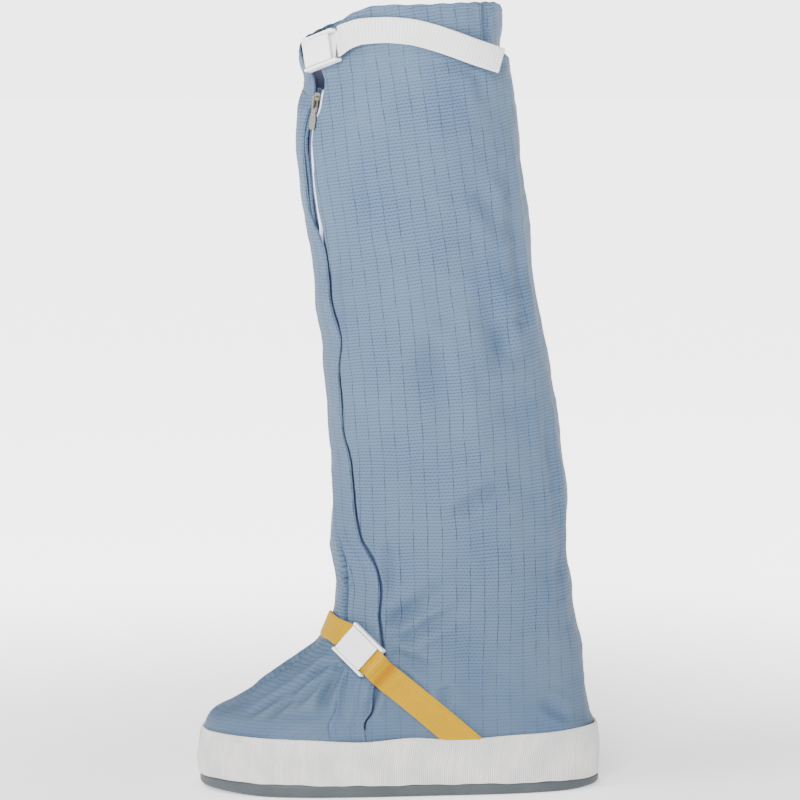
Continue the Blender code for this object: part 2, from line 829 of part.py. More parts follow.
def frame_at(height, arc, slope):
    """Axes of a buckle lying on the upper: along the strap, across it and outwards, in that order."""
    out = normal(height, arc)
    probe = BUCKLE_BASE
    level = on_upper(height, arc + probe) - on_upper(height, arc - probe)
    level = (level - out * level.dot(out)).normalized()
    up = out.cross(level)
    if up.z < 0:
        up = -up
    along = level * math.cos(slope) + up * math.sin(slope)
    across = out.cross(along)
    return along, across, out


def placed_axes(made, origin, axes):
    """Places an object by its origin and its three axes."""
    turn = Matrix(axes).transposed().to_4x4()
    made.matrix_world = Matrix.Translation(origin) @ turn
    return made


def prism(name, outline, half_length, finish, collection):
    """A closed outline in the across and out directions, drawn along the strap and rounded."""
    points = [(end * half_length, across, out) for end in (-1, 1) for across, out in outline]
    count = len(outline)
    faces = grid_faces(2, count, True)
    faces += [tuple(range(count)), tuple(range(count, 2 * count))]
    made = add_object(name, mesh_from(name, points, faces), finish, collection)
    rounded = made.modifiers.new("rounding", "BEVEL")
    rounded.width = BUCKLE_ROUND
    rounded.segments = 1
    rounded.limit_method = "ANGLE"
    return made


def make_buckle(prefix, webbing, origin, axes, collection):
    """Cam buckle: a channel with two side walls, and the lever closed down between them on the webbing."""
    inside = webbing / 2 + BUCKLE_SIDE_PLAY
    outside = inside + BUCKLE_WALL
    channel = (
        (-outside, 0.0),
        (outside, 0.0),
        (outside, BUCKLE_HEIGHT),
        (inside, BUCKLE_HEIGHT),
        (inside, BUCKLE_BASE),
        (-inside, BUCKLE_BASE),
        (-inside, BUCKLE_HEIGHT),
        (-outside, BUCKLE_HEIGHT),
    )
    frame = prism(prefix + "_frame", channel, BUCKLE_LENGTH / 2, "plastic", collection)
    placed_axes(frame, origin, axes)
    reach = inside - CLEARANCE
    low = BUCKLE_HEIGHT - LEVER_THICKNESS
    face = (
        (-reach, low),
        (reach, low),
        (reach, BUCKLE_HEIGHT + CLEARANCE),
        (-reach, BUCKLE_HEIGHT + CLEARANCE),
    )
    lever = prism(prefix + "_lever", face, LEVER_LENGTH / 2, "plastic", collection)
    placed_axes(lever, origin - Vector(axes[0]) * LEVER_SETBACK, axes)
    return frame, lever


def seated(height, arc, slope, half_across, gap):
    """Origin and axes of a buckle whose flat base just clears the upper by a gap."""
    axes = frame_at(height, arc, slope)
    along, across, out = axes
    start = on_upper(height, arc)
    rise = 0.0
    for ahead in (-1, -0.5, 0, 0.5, 1):
        for aside in (-1, -0.5, 0, 0.5, 1):
            spot = start + along * BUCKLE_LENGTH / 2 * ahead + across * half_across * aside
            moved = clear_of_upper(spot, gap) - spot
            lean = moved.normalized().dot(out) if moved.length > 0 else 1.0
            rise = max(rise, moved.length * max(lean, 0.3))
    return start + out * rise, axes


def in_buckle(origin, axes, ahead, webbing):
    """A line across the webbing where it runs through a buckle."""
    along, across, out = axes
    middle = origin + along * ahead + out * (BUCKLE_BASE + CLEARANCE)
    return [middle + across * webbing * (0.5 - index / (STRAP_POINTS - 1)) for index in range(STRAP_POINTS)]


def near_buckle(origin, axes, aside):
    """Height and arc on the upper beneath the ankle buckle's front end, on one edge of the webbing."""
    spot = origin - axes[0] * BUCKLE_LENGTH / 2 + axes[1] * ANKLE_WEBBING * aside
    x, y, length = section(spot.z)
    nearest = int(np.argmin((x - spot.x) ** 2 + (y - spot.y) ** 2))
    return spot.z, float(length[nearest])


def make_ankle_straps(origin, axes, collection):
    """Yellow webbing: one run down the outer side, the other over the instep and down the inner side."""

    def outer_lift(share):
        return 2 * CLEARANCE + ANKLE_SEAT * (1 - ease((share - 0.22) / 0.14))

    half = BUCKLE_LENGTH / 2
    webbing = ANKLE_WEBBING
    lines = [in_buckle(origin, axes, half * part, webbing) for part in (0.55, 1.04)]
    lines += strap_down(OUTER, 16, outer_lift)[2:]
    outer = add_sheet("ankle_strap_outer", lines, WEBBING_THICKNESS, "yellow_webbing", collection)

    high, low = (INSTEP_HEIGHT * share for share in ANKLE_FRONT)
    edges = [side_place(ANKLE_EDGES[edge][0], INNER) for edge in ("upper", "lower")]
    knots = []
    for part, over_nose, edge in ((0.5, high, edges[0]), (-0.5, low, edges[1])):
        start = (-1.0, *near_buckle(origin, axes, part))
        knots.append(table("place height arc", [start, (0.0, over_nose, 0.0), (1.0, *edge)]))
    lines = [in_buckle(origin, axes, -half * part, webbing) for part in (0.45, 1.04)]
    for place in np.linspace(-1.0, 1.0, 15)[3:-1]:
        upper, lower = (tuple(float(smooth(knot, column, place)) for column in ("height", "arc")) for knot in knots)
        lift = 2 * CLEARANCE + ANKLE_SEAT * (1 - ease((place + 1.0) / 0.8))
        lines.append(ribbon_line(upper, lower, lift))
    lines += strap_down(INNER, 14, lambda share: 2 * CLEARANCE)
    lines = [line[::-1] for line in lines]
    inner = add_sheet("ankle_strap_inner", lines, WEBBING_THICKNESS, "yellow_webbing", collection)
    return outer, inner


def make_tail(origin, axes, collection):
    """White collar webbing: out of the buckle and over the outer side, its cut end standing off."""
    lines = [in_buckle(origin, axes, BUCKLE_LENGTH * part, COLLAR_WEBBING) for part in (0.0, 0.52)]
    leaves = (origin + axes[0] * BUCKLE_LENGTH * 0.62).x / SHAFT_DEPTH
    places = np.linspace(leaves, TAIL["place"][-1], 20)
    probe = 0.01
    for place in places:
        x = SHAFT_DEPTH * float(place)
        drop = float(smooth(TAIL, "drop", place)) * COLLAR_WEBBING
        before = float(smooth(TAIL, "drop", place - probe)) * COLLAR_WEBBING
        after = float(smooth(TAIL, "drop", place + probe)) * COLLAR_WEBBING
        width = min(place + probe, TAIL["place"][-1]) - max(place - probe, TAIL["place"][0])
        slope = math.atan2(before - after, SHAFT_DEPTH * width)
        half_x = -math.sin(slope) * COLLAR_WEBBING / 2
        half_z = math.cos(slope) * COLLAR_WEBBING / 2
        height = BOOT_HEIGHT - drop
        lift = CLEARANCE + TAIL_LIFT * float(smooth(TAIL, "stand", place))
        edges = []
        for side_x, side_z in ((x + half_x, height + half_z), (x - half_x, height - half_z)):
            leaving = max(side_x - TAIL_LEAVES * SHAFT_DEPTH, 0.0)
            spot = lifted(side_z, arc_at(side_z, side_x - leaving * (1 - TAIL_FOLLOWS), OUTER), lift)
            edges.append(Vector((side_x, spot.y, side_z)))
        line = [edges[0].lerp(edges[1], index / (STRAP_POINTS - 1)) for index in range(STRAP_POINTS)]
        lines.append([clear_of_upper(point, CLEARANCE) for point in line])
    return add_sheet("collar_strap", lines, WEBBING_THICKNESS, "white_webbing", collection)


def drawn(name, outline, low, high, finish, collection):
    """A closed outline in the across and along directions, drawn outwards between two levels."""
    points = [(along, across, out) for out in (low, high) for across, along in outline]
    count = len(outline)
    faces = grid_faces(2, count, True)
    faces += [tuple(range(count)), tuple(range(count, 2 * count))]
    return add_object(name, mesh_from(name, points, faces), finish, collection)


def helper_box(name, low, high, cutters):
    """A hidden box between two corners, for a cut or a join."""
    shape = bmesh.new()
    middle = Matrix.Translation((Vector(low) + Vector(high)) / 2)
    size = Matrix.Diagonal((*(Vector(high) - Vector(low)), 1.0))
    bmesh.ops.create_cube(shape, size=1.0, matrix=middle @ size)
    mesh = bpy.data.meshes.new(name)
    shape.to_mesh(mesh)
    shape.free()
    made = bpy.data.objects.new(name, mesh)
    made.hide_render = True
    made.display_type = "WIRE"
    cutters.objects.link(made)
    return made


def boolean(made, operation, other):
    step = made.modifiers.new(other.name, "BOOLEAN")
    step.operation = operation
    step.object = other


def both_sides(right):
    """A closed outline from its right half, each point (across, along)."""
    return right + [(-across, along) for across, along in reversed(right)]


def slider_frame():
    """Origin on the chain's face and the axes along the chain, across it and outwards."""
    probe = SLIDER_LENGTH / 4
    high = lifted(SLIDER_HEIGHT + probe, zip_arc(SLIDER_HEIGHT + probe), 0.0)
    low = lifted(SLIDER_HEIGHT - probe, zip_arc(SLIDER_HEIGHT - probe), 0.0)
    along = (high - low).normalized()
    out = normal(SLIDER_HEIGHT, zip_arc(SLIDER_HEIGHT))
    out = (out - along * out.dot(along)).normalized()
    across = out.cross(along)
    face = CHAIN_THICKNESS - tape_depth() + CLEARANCE
    return lifted(SLIDER_HEIGHT, zip_arc(SLIDER_HEIGHT), face), (along, across, out)


def make_slider(collection, cutters):
    """Die-cast slider: a shouldered plate with the bridge that holds the pull tab."""
    origin, axes = slider_frame()
    right = [
        (SLIDER_WIDTH / 2 * half, SLIDER_LENGTH / 2 * place)
        for place, half in zip(PLATE_OUTLINE["place"], PLATE_OUTLINE["half"])
    ]
    made = drawn("zip_slider", both_sides(right), 0.0, SLIDER_PLATE, "slider", collection)
    side = BRIDGE_WIDTH / 2
    block = helper_box(
        "bridge_block",
        (-BRIDGE_HALF, -side, SLIDER_PLATE / 2),
        (BRIDGE_HALF, side, SLIDER_PLATE + BRIDGE_HEIGHT),
        cutters,
    )
    window = helper_box(
        "bridge_window",
        (-BRIDGE_HALF + BRIDGE_BAR, -SLIDER_WIDTH, SLIDER_PLATE),
        (BRIDGE_HALF - BRIDGE_BAR, SLIDER_WIDTH, SLIDER_PLATE + BRIDGE_HEIGHT - BRIDGE_BAR),
        cutters,
    )
    boolean(made, "UNION", block)
    boolean(made, "DIFFERENCE", window)
    for helper in (block, window):
        placed_axes(helper, origin, axes)
    placed_axes(made, origin, axes)

    thick = PULL_THICKNESS / 2
    eye = PULL_WIDTH / 2 * TAB_EYE
    right = [(eye, thick), (eye, -BRIDGE_HALF - 2 * BRIDGE_BAR)]
    for place, half in zip(TAB_OUTLINE["place"], TAB_OUTLINE["half"]):
        right.append((PULL_WIDTH / 2 * half, -PULL_LENGTH * place))
    pull = drawn("zip_pull", both_sides(right), -thick, thick, "slider", collection)
    slot = helper_box(
        "pull_slot",
        (-BRIDGE_HALF - BRIDGE_BAR, -side - CLEARANCE, -2 * PULL_THICKNESS),
        (-thick, side + CLEARANCE, 2 * PULL_THICKNESS),
        cutters,
    )
    boolean(pull, "DIFFERENCE", slot)
    pivot = origin + Vector(axes[2]) * (SLIDER_PLATE + PIVOT_HEIGHT)
    placed_axes(slot, pivot, axes)
    placed_axes(pull, pivot, axes)
    return made, pull


def build():
    for old in list(bpy.data.objects):
        bpy.data.objects.remove(old, do_unlink=True)
    parts = bpy.data.collections.new("cleanroom_boot")
    cutters = bpy.data.collections.new("cutters")
    bpy.context.scene.collection.children.link(parts)
    bpy.context.scene.collection.children.link(cutters)

    sole = make_outsole(parts)
    cut_tread(sole, cutters)
    make_insole(parts)
    slit_low = make_upper(parts)[1]
    make_band(parts)
    make_zip_tape("zip_tape_outer", OUTER, slit_low + CLEARANCE, parts)
    make_zip_tape("zip_tape_inner", INNER, slit_low + CLEARANCE, parts)
    make_flap(parts)
    make_slider(parts, cutters)

    height = INSTEP_HEIGHT * ANKLE_BUCKLE[1]
    arc = arc_at(height, HALF_SOLE * ANKLE_BUCKLE[0], OUTER)
    half_across = ANKLE_WEBBING / 2 + BUCKLE_SIDE_PLAY + BUCKLE_WALL
    origin, axes = seated(height, arc, ANKLE_BUCKLE_SLOPE, half_across, ANKLE_SEAT)
    make_buckle("ankle_buckle", ANKLE_WEBBING, origin, axes, parts)
    make_ankle_straps(origin, axes, parts)

    arc = zip_arc(COLLAR_BUCKLE_HEIGHT) + COLLAR_BUCKLE_ASIDE
    half_across = COLLAR_WEBBING / 2 + BUCKLE_SIDE_PLAY + BUCKLE_WALL
    origin, axes = seated(COLLAR_BUCKLE_HEIGHT, arc, COLLAR_BUCKLE_SLOPE, half_across, 2 * CLEARANCE)
    make_buckle("collar_buckle", COLLAR_WEBBING, origin, axes, parts)
    make_tail(origin, axes, parts)


build()
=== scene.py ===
"""The looks of a knee-high cleanroom overboot for the left foot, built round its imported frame.

The toe points to -X, the heel to +X and the outer side of the foot to -Y; metres, +Z up, the floor at 0.
"""

import math

import bpy
import numpy as np
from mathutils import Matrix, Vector


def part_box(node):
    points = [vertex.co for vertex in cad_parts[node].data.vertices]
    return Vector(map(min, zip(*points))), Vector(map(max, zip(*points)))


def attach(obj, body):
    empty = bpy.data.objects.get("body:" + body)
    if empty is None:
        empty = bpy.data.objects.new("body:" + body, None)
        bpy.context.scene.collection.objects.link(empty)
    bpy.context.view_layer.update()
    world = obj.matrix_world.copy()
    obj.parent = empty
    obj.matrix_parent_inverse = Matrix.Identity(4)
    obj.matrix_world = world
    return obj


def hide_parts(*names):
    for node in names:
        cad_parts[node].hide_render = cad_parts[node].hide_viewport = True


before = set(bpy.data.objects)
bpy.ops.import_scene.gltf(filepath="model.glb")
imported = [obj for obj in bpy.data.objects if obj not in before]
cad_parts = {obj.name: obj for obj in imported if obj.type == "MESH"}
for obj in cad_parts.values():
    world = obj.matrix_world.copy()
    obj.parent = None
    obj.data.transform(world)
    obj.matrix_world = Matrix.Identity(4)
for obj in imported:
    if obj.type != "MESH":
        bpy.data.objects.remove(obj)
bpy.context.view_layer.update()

# Studio: a long lens a little above the boot's middle, turned slightly to the toe, a pale floor and soft
# light. The big panel in front gives the cloth its even light, the one over the toe lights the tops of
# the folds, and the pale world fills the shadows.
CAMERA_PLACE = (-0.195, -2.793, 0.530)
CAMERA_YAW = math.radians(4.0)
CAMERA_TILT = math.radians(5.12)
CAMERA_LENS = 175.95
FLOOR_RADIUS = 40.0
PANELS = {
    "front_panel": ((-0.8, -3.0, 1.7), (0.0, 0.0, 0.30), 0.9, 125.0),
    "toe_panel": ((-1.3, -0.7, 2.1), (-0.07, 0.0, 0.10), 0.8, 34.0),
    "back_panel": ((1.6, 2.2, 1.8), (0.0, 0.0, 0.30), 1.4, 16.0),
}


def linear(code):
    """An sRGB hex colour as the linear one that a shader takes."""
    shares = [int(code[place : place + 2], 16) / 255 for place in (0, 2, 4)]
    return (*(share / 12.92 if share <= 0.04045 else ((share + 0.055) / 1.055) ** 2.4 for share in shares),
        1.0)


def add(tree, kind, settings=None, inputs=None):
    """A new node with its settings, and its inputs set to values or linked to sockets or nodes."""
    node = tree.nodes.new(kind)
    for name, value in (settings or {}).items():
        setattr(node, name, value)
    for name, value in (inputs or {}).items():
        if isinstance(value, bpy.types.Node):
            tree.links.new(value.outputs[0], node.inputs[name])
        elif isinstance(value, bpy.types.NodeSocket):
            tree.links.new(value, node.inputs[name])
        else:
            node.inputs[name].default_value = value
    return node


# Settings that many nodes share
BLEND = {"data_type": "RGBA"}
PRODUCT = {"operation": "MULTIPLY"}
SOFT_STEP = {"interpolation_type": "SMOOTHSTEP"}


def new_material(name):
    """An empty material, its node tree and the socket that its shader goes to."""
    made = bpy.data.materials.new(name)
    made.use_nodes = True
    made.node_tree.nodes.clear()
    output = made.node_tree.nodes.new("ShaderNodeOutputMaterial")
    return made, made.node_tree, output.inputs["Surface"]


camera = bpy.data.objects.new("camera", bpy.data.cameras.new("camera"))
camera.data.lens = CAMERA_LENS
camera.location = CAMERA_PLACE
camera.rotation_euler = (math.pi / 2 - CAMERA_TILT, 0.0, -CAMERA_YAW)
bpy.context.scene.collection.objects.link(camera)
bpy.context.scene.camera = camera

for panel_name, (panel_place, panel_aim, panel_size, panel_power) in PANELS.items():
    panel = bpy.data.objects.new(panel_name, bpy.data.lights.new(panel_name, "AREA"))
    panel.data.size = panel_size
    panel.data.energy = panel_power
    panel.location = panel_place
    away = Vector(panel_place) - Vector(panel_aim)
    panel.rotation_euler = away.to_track_quat("Z", "Y").to_euler()
    bpy.context.scene.collection.objects.link(panel)

world = bpy.data.worlds.new("studio_air")
bpy.context.scene.world = world
world.use_nodes = True
sky_way = add(world.node_tree, "ShaderNodeTexCoord")
sky_height = add(world.node_tree, "ShaderNodeSeparateXYZ", inputs={"Vector": sky_way.outputs["Generated"]})
sky_glow = add(world.node_tree, "ShaderNodeMapRange", SOFT_STEP,
    {"Value": sky_height.outputs["Z"], "From Min": 0.03, "From Max": 0.22, "To Min": 4.0, "To Max": 0.35})
world.node_tree.nodes["Background"].inputs["Color"].default_value = linear("ffffff")
world.node_tree.links.new(sky_glow.outputs[0], world.node_tree.nodes["Background"].inputs["Strength"])

# Studio floor: matt, nearly white acrylic that glows as painted light. Its glow is weaker close to the boot,
# so that a painted shade lies round the boot along with its own soft shade
floor_paint, floor_tree, floor_surface = new_material("matt_floor_paint")
floor_grain = add(floor_tree, "ShaderNodeTexNoise", inputs={"Scale": 3.0, "Detail": 3.0})
floor_colour = add(floor_tree, "ShaderNodeMix", BLEND,
    {"Factor": floor_grain, "A": linear("f7f7f7"), "B": linear("fbfbfb")})
floor_place = add(floor_tree, "ShaderNodeTexCoord")
floor_away = add(floor_tree, "ShaderNodeVectorMath", {"operation": "LENGTH"},
    {0: floor_place.outputs["Object"]})
# Painted light: the floor's glow, from 0.9 close to the boot up to 3.8 beyond a metre off
floor_glow = add(floor_tree, "ShaderNodeMapRange", SOFT_STEP,
    {"Value": floor_away.outputs["Value"], "From Min": 0.15, "From Max": 1.2, "To Min": 0.9, "To Max": 3.8})
floor_shader = add(floor_tree, "ShaderNodeBsdfPrincipled",
    inputs={"Base Color": floor_colour.outputs["Result"], "Roughness": 0.85,
    "Emission Color": linear("ffffff"), "Emission Strength": floor_glow})
floor_tree.links.new(floor_shader.outputs[0], floor_surface)
bpy.ops.mesh.primitive_circle_add(vertices=96, radius=FLOOR_RADIUS, fill_type="NGON")
floor = bpy.context.object
floor.name = "floor"
floor.data.materials.append(floor_paint)

# Upper: shaft and foot cover in one, of light blue polyester cloth sewn to a tube. Dark conductive threads
# run up it every 10 mm and across it every few rows, so it drains static charge. It is hemmed at the
# collar, with a casing 42 mm deep, and open down the front for the zip.
SOLE_LENGTH = 0.2890
BALL_WIDTH = 0.1130
BOOT_HEIGHT = 0.5640
INSTEP_HEIGHT = 0.1050
SHAFT_DEPTH = 0.1660
SHAFT_WIDTH = 0.1240
TOE_SWING = 0.0060
WALL = 0.0015
CLEARANCE = 0.0004
SOLE_THICKNESS = 0.0130
SOLE_EDGE = 0.0088
BAND_HEIGHT = 0.0330
CASING_HEIGHT = 0.0420
CASING_STEP = 0.0006
COLLAR_DROOP = 0.0240
COLLAR_DROOP_REACH = 0.0380
CHAIN_WIDTH = 0.0052
ZIP_PARTING = 0.0048
SLIDER_LENGTH = 0.0125
FLAP_LAP = 0.0070
FLAP_TURN_BACK = 0.0058
FLAP_TURNED_BACK = 0.1590
FLAP_TURN_REACH = 0.0300
COLLAR_BUCKLE_DROP = 0.0350
SLIDER_DROP = 0.0355
HALF_SOLE = SOLE_LENGTH / 2
CASING_FOOT = BOOT_HEIGHT - CASING_HEIGHT
UPPER_FOOT = SOLE_THICKNESS + CLEARANCE
COLLAR_BUCKLE_HEIGHT = BOOT_HEIGHT - COLLAR_BUCKLE_DROP
SLIDER_HEIGHT = COLLAR_BUCKLE_HEIGHT - SLIDER_DROP
OUTER = 1
INNER = -1


def table(columns, rows):
    """A table's columns by name; the first one is what the others are read against."""
    return dict(zip(columns.split(), np.array(rows, float).T))


# The foot: height as a share of the instep's, front, back and widest point as shares of half the sole,
# half width as a share of half the ball's, bluntness of the two ends, and the waist's pinch as a share
FOOT = table(
    "height front back half widest blunt_front blunt_back waist",
    [
        (0.00, 0.989, 0.989, 0.965, -0.36, 2.40, 2.80, 1.0),
        (0.16, 0.990, 0.984, 0.975, -0.36, 2.40, 2.80, 1.0),
        (0.30, 0.979, 0.985, 0.970, -0.36, 2.40, 2.75, 0.9),
        (0.43, 0.969, 0.976, 0.955, -0.34, 2.40, 2.65, 0.8),
        (0.50, 0.944, 0.952, 0.935, -0.31, 2.35, 2.55, 0.7),
        (0.58, 0.846, 0.938, 0.895, -0.24, 2.30, 2.50, 0.6),
        (0.72, 0.692, 0.926, 0.850, -0.08, 2.25, 2.40, 0.4),
        (0.86, 0.537, 0.916, 0.850, 0.10, 2.20, 2.35, 0.2),
        (1.00, 0.404, 0.901, 0.885, 0.20, 2.15, 2.30, 0.0),
    ],
)
# The shaft: height as a share of its own above the instep, setback of its back from the heel's end and
# depth from front to back as shares of the shaft's depth, width as a share of the shaft's
SHAFT = table(
    "height setback depth width",
    [
        (0.032, 0.104, 1.070, 0.860),
        (0.063, 0.113, 1.043, 0.880),
        (0.095, 0.119, 1.033, 0.895),
        (0.126, 0.136, 1.029, 0.910),
        (0.158, 0.141, 1.034, 0.925),
        (0.221, 0.142, 1.014, 0.955),
        (0.284, 0.160, 0.997, 0.980),
        (0.347, 0.174, 0.999, 1.000),
        (0.410, 0.200, 0.990, 1.005),
        (0.473, 0.236, 0.971, 1.000),
        (0.535, 0.275, 0.949, 0.990),
        (0.598, 0.301, 0.931, 0.985),
        (0.660, 0.301, 0.960, 0.980),
        (0.722, 0.323, 0.964, 0.980),
        (0.784, 0.350, 0.950, 0.980),
        (0.846, 0.376, 0.915, 0.980),
        (0.880, 0.391, 0.885, 0.975),
        (0.910, 0.404, 0.895, 0.960),
        (0.930, 0.444, 0.848, 0.940),
        (0.957, 0.436, 0.840, 0.945),
        (1.000, 0.430, 0.845, 0.950),
    ],
)
SHAFT_WIDEST = 0.50
SHAFT_BLUNT = 2.15
# The groove at the flap's free edge: height as a share of the boot's, and its distance behind the front
# as a share of the section's depth
GROOVE = table("height behind", [(0.060, 0.405), (0.105, 0.385), (0.132, 0.339), (0.170, 0.262),
    (0.208, 0.196), (0.234, 0.174), (0.283, 0.178), (0.310, 0.147), (0.324, 0.120), (0.364, 0.083),
    (0.413, 0.072), (0.468, 0.055), (0.529, 0.060), (0.578, 0.084), (0.611, 0.066), (0.658, 0.054),
    (0.711, 0.044), (0.740, 0.032), (0.808, 0.036), (0.839, 0.041), (0.875, 0.066), (0.905, 0.063),
    (1.000, 0.060)])
# The sole's ledge under the band: place from toe to heel, and height as a share of the sole's edge
LEDGE = table("place height", [(0.00, 1.24), (0.20, 1.10), (0.40, 1.00), (0.62, 0.98), (0.80, 0.92),
    (1.00, 0.88)])
# The band's upper edge: place from toe to heel, and rise as a share of the band's height
BAND_TOP = table("place rise", [(0.00, 0.03), (0.15, 0.02), (0.38, -0.05), (0.52, 0.01), (0.62, -0.03),
    (0.80, 0.02), (1.00, 0.10)])


def smooth(rows, column, at):
    """A table's column, joined by a curve that never overshoots its rows."""
    xs = next(iter(rows.values()))
    ys = rows[column]
    at = np.clip(at, xs[0], xs[-1])
    steps = np.diff(xs)
    rises = np.diff(ys) / steps
    slopes = np.zeros(len(xs))
    slopes[0] = rises[0]
    slopes[-1] = rises[-1]
    same = rises[:-1] * rises[1:] > 0
    product = 2 * rises[:-1] * rises[1:]
    total = np.where(same, rises[:-1] + rises[1:], 1.0)
    slopes[1:-1] = np.where(same, product / total, 0.0)
    cell = np.clip(np.searchsorted(xs, at, side="right") - 1, 0, len(xs) - 2)
    u = (at - xs[cell]) / steps[cell]
    start = (1 + 2 * u) * (1 - u) ** 2 * ys[cell] + u * (1 - u) ** 2 * steps[cell] * slopes[cell]
    end = u * u * (3 - 2 * u) * ys[cell + 1] + u * u * (u - 1) * steps[cell] * slopes[cell + 1]
    return start + end


def ease(value):
    """0 below 0, 1 above 1, and a smooth rise between."""
    held = np.clip(value, 0.0, 1.0)
    return held * held * (3 - 2 * held)


def section_table():
    """The upper's sections in metres, foot below and shaft above."""
    back = HALF_SOLE - SHAFT_DEPTH * SHAFT["setback"]
    front = back - SHAFT_DEPTH * SHAFT["depth"]
    blunt = np.full(len(back), SHAFT_BLUNT)
    shaft = {"height": INSTEP_HEIGHT + (BOOT_HEIGHT - INSTEP_HEIGHT) * SHAFT["height"], "front": front,
        "back": back, "half": SHAFT_WIDTH / 2 * SHAFT["width"],
        "widest": front + (back - front) * SHAFT_WIDEST, "blunt_front": blunt, "blunt_back": blunt,
        "waist": np.zeros(len(back))}
    foot = {"height": INSTEP_HEIGHT * FOOT["height"], "front": -HALF_SOLE * FOOT["front"],
        "back": HALF_SOLE * FOOT["back"], "half": BALL_WIDTH / 2 * FOOT["half"],
        "widest": HALF_SOLE * FOOT["widest"], "blunt_front": FOOT["blunt_front"],
        "blunt_back": FOOT["blunt_back"], "waist": FOOT["waist"]}
    return {column: np.concatenate([foot[column], shaft[column]]) for column in foot}


# The outer face is kept on levels 2 mm apart, each with the same number of places spread evenly round it
WAIST_PLACE = 0.16 * HALF_SOLE
WAIST_REACH = 0.34 * HALF_SOLE
WAIST_PINCH = {OUTER: 0.045, INNER: 0.115}
LEVEL_STEP = 0.002
PLACES = 720
LEVELS = np.arange(0.0, BOOT_HEIGHT + 2 * LEVEL_STEP, LEVEL_STEP)


def outline(height):
    """The outer face at a height: x, y and length round it, from the nose over the outer side."""
    sections = section_table()
    here = {column: float(smooth(sections, column, height)) for column in sections}
    step = CASING_STEP * float(ease((height - CASING_FOOT) / (4 * CASING_STEP)))
    turn = np.linspace(0.0, 2 * math.pi, PLACES + 1)
    ahead = np.cos(turn)
    aside = np.sin(turn)
    reach = step + np.where(ahead > 0, here["widest"] - here["front"], here["back"] - here["widest"])
    blunt = np.where(ahead > 0, here["blunt_front"], here["blunt_back"])
    x = here["widest"] - np.sign(ahead) * reach * np.abs(ahead) ** (2 / blunt)
    y = -np.sign(aside) * (here["half"] + step) * np.abs(aside) ** (2 / blunt)
    pinch = np.where(y < 0, WAIST_PINCH[OUTER], WAIST_PINCH[INNER]) * here["waist"]
    y = y * (1 - pinch * np.exp(-(((x - WAIST_PLACE) / WAIST_REACH) ** 2)))
    y = y + TOE_SWING * (np.minimum(x, 0.0) / HALF_SOLE) ** 2
    length = np.concatenate([[0.0], np.cumsum(np.hypot(np.diff(x), np.diff(y)))])
    return x, y, length


OUTLINES = [outline(height) for height in LEVELS]
GIRTHS = np.array([length[-1] for _, _, length in OUTLINES])
BACKS = np.array([length[PLACES // 2] for _, _, length in OUTLINES])
even = np.arange(PLACES) / PLACES
FACE = []
for (x, y, length), level in zip(OUTLINES, LEVELS):
    at = even * length[-1]
    spots = [np.interp(at, length, x), np.interp(at, length, y), np.full(PLACES, level)]
    FACE.append(np.stack(spots, axis=-1))
FACE = np.array(FACE)
round_it = np.roll(FACE, -1, axis=1) - np.roll(FACE, 1, axis=1)
NORMALS = np.cross(round_it, np.gradient(FACE, axis=0))
NORMALS /= np.linalg.norm(NORMALS, axis=-1, keepdims=True)


def girth(height):
    return np.interp(height, LEVELS, GIRTHS)


def back_arc(height):
    return np.interp(height, LEVELS, BACKS)


def read_face(grid, height, arc):
    """A grid of levels and places, read between its points."""
    height, arc = np.broadcast_arrays(np.asarray(height, float), np.asarray(arc, float))
    level = np.clip(height / LEVEL_STEP, 0.0, len(LEVELS) - 1.001)
    low = level.astype(int)
    up = (level - low)[..., None]
    place = (arc / girth(height)) % 1.0 * PLACES
    column = place.astype(int) % PLACES
    beside = (column + 1) % PLACES
    side = (place - np.floor(place))[..., None]
    lower = grid[low, column] * (1 - side) + grid[low, beside] * side
    upper = grid[low + 1, column] * (1 - side) + grid[low + 1, beside] * side
    return lower * (1 - up) + upper * up


def on_upper(height, arc):
    return read_face(FACE, height, arc)


def normal(height, arc):
    return read_face(NORMALS, height, arc)


def lifted(height, arc, distance):
    return on_upper(height, arc) + normal(height, arc) * np.asarray(distance, float)[..., None]


def arc_at(height, x, side):
    """Distance round the section from the nose to a place on one side, less than 0 on the inner side."""
    level = min(max(height / LEVEL_STEP, 0), len(LEVELS) - 1.001)
    middle = PLACES // 2
    found = []
    for xs, _, length in OUTLINES[int(level) : int(level) + 2]:
        if side == OUTER:
            found.append(np.interp(x, xs[: middle + 1], length[: middle + 1]))
        else:
            found.append(np.interp(x, xs[: middle - 1 : -1], length[: middle - 1 : -1] - length[-1]))
    return float(found[0] + (found[1] - found[0]) * (level - int(level)))


def groove_on_levels():
    arcs = []
    for height, (x, _, _) in zip(LEVELS, OUTLINES):
        share = float(smooth(GROOVE, "behind", height / BOOT_HEIGHT))
        arcs.append(arc_at(height, x.min() + share * (x.max() - x.min()), OUTER))
    return np.array(arcs)


GROOVES = groove_on_levels()


def groove_arc(height):
    """The flap's free edge, or the middle of the bare zip above it, as a distance from the nose."""
    return np.interp(height, LEVELS, GROOVES)


def covered(height):
    """1 where the flap hides the zip, 0 where it is turned back."""
    return ease((BOOT_HEIGHT - FLAP_TURNED_BACK + FLAP_TURN_REACH / 2 - height) / FLAP_TURN_REACH)


def zip_arc(height):
    return groove_arc(height) - FLAP_LAP * covered(height)


def flap_edge_arc(height):
    return groove_arc(height) - FLAP_TURN_BACK * (1 - covered(height))


def parting(height):
    """Half the space between the two halves of the zip's chain: closed below the slider."""
    return CLEARANCE / 2 + ZIP_PARTING * ease((height - SLIDER_HEIGHT) / (2 * SLIDER_LENGTH))


def slit(height):
    """Half the width of the upper's opening for the zip."""
    return CHAIN_WIDTH / 2 + 2 * CLEARANCE + parting(height)


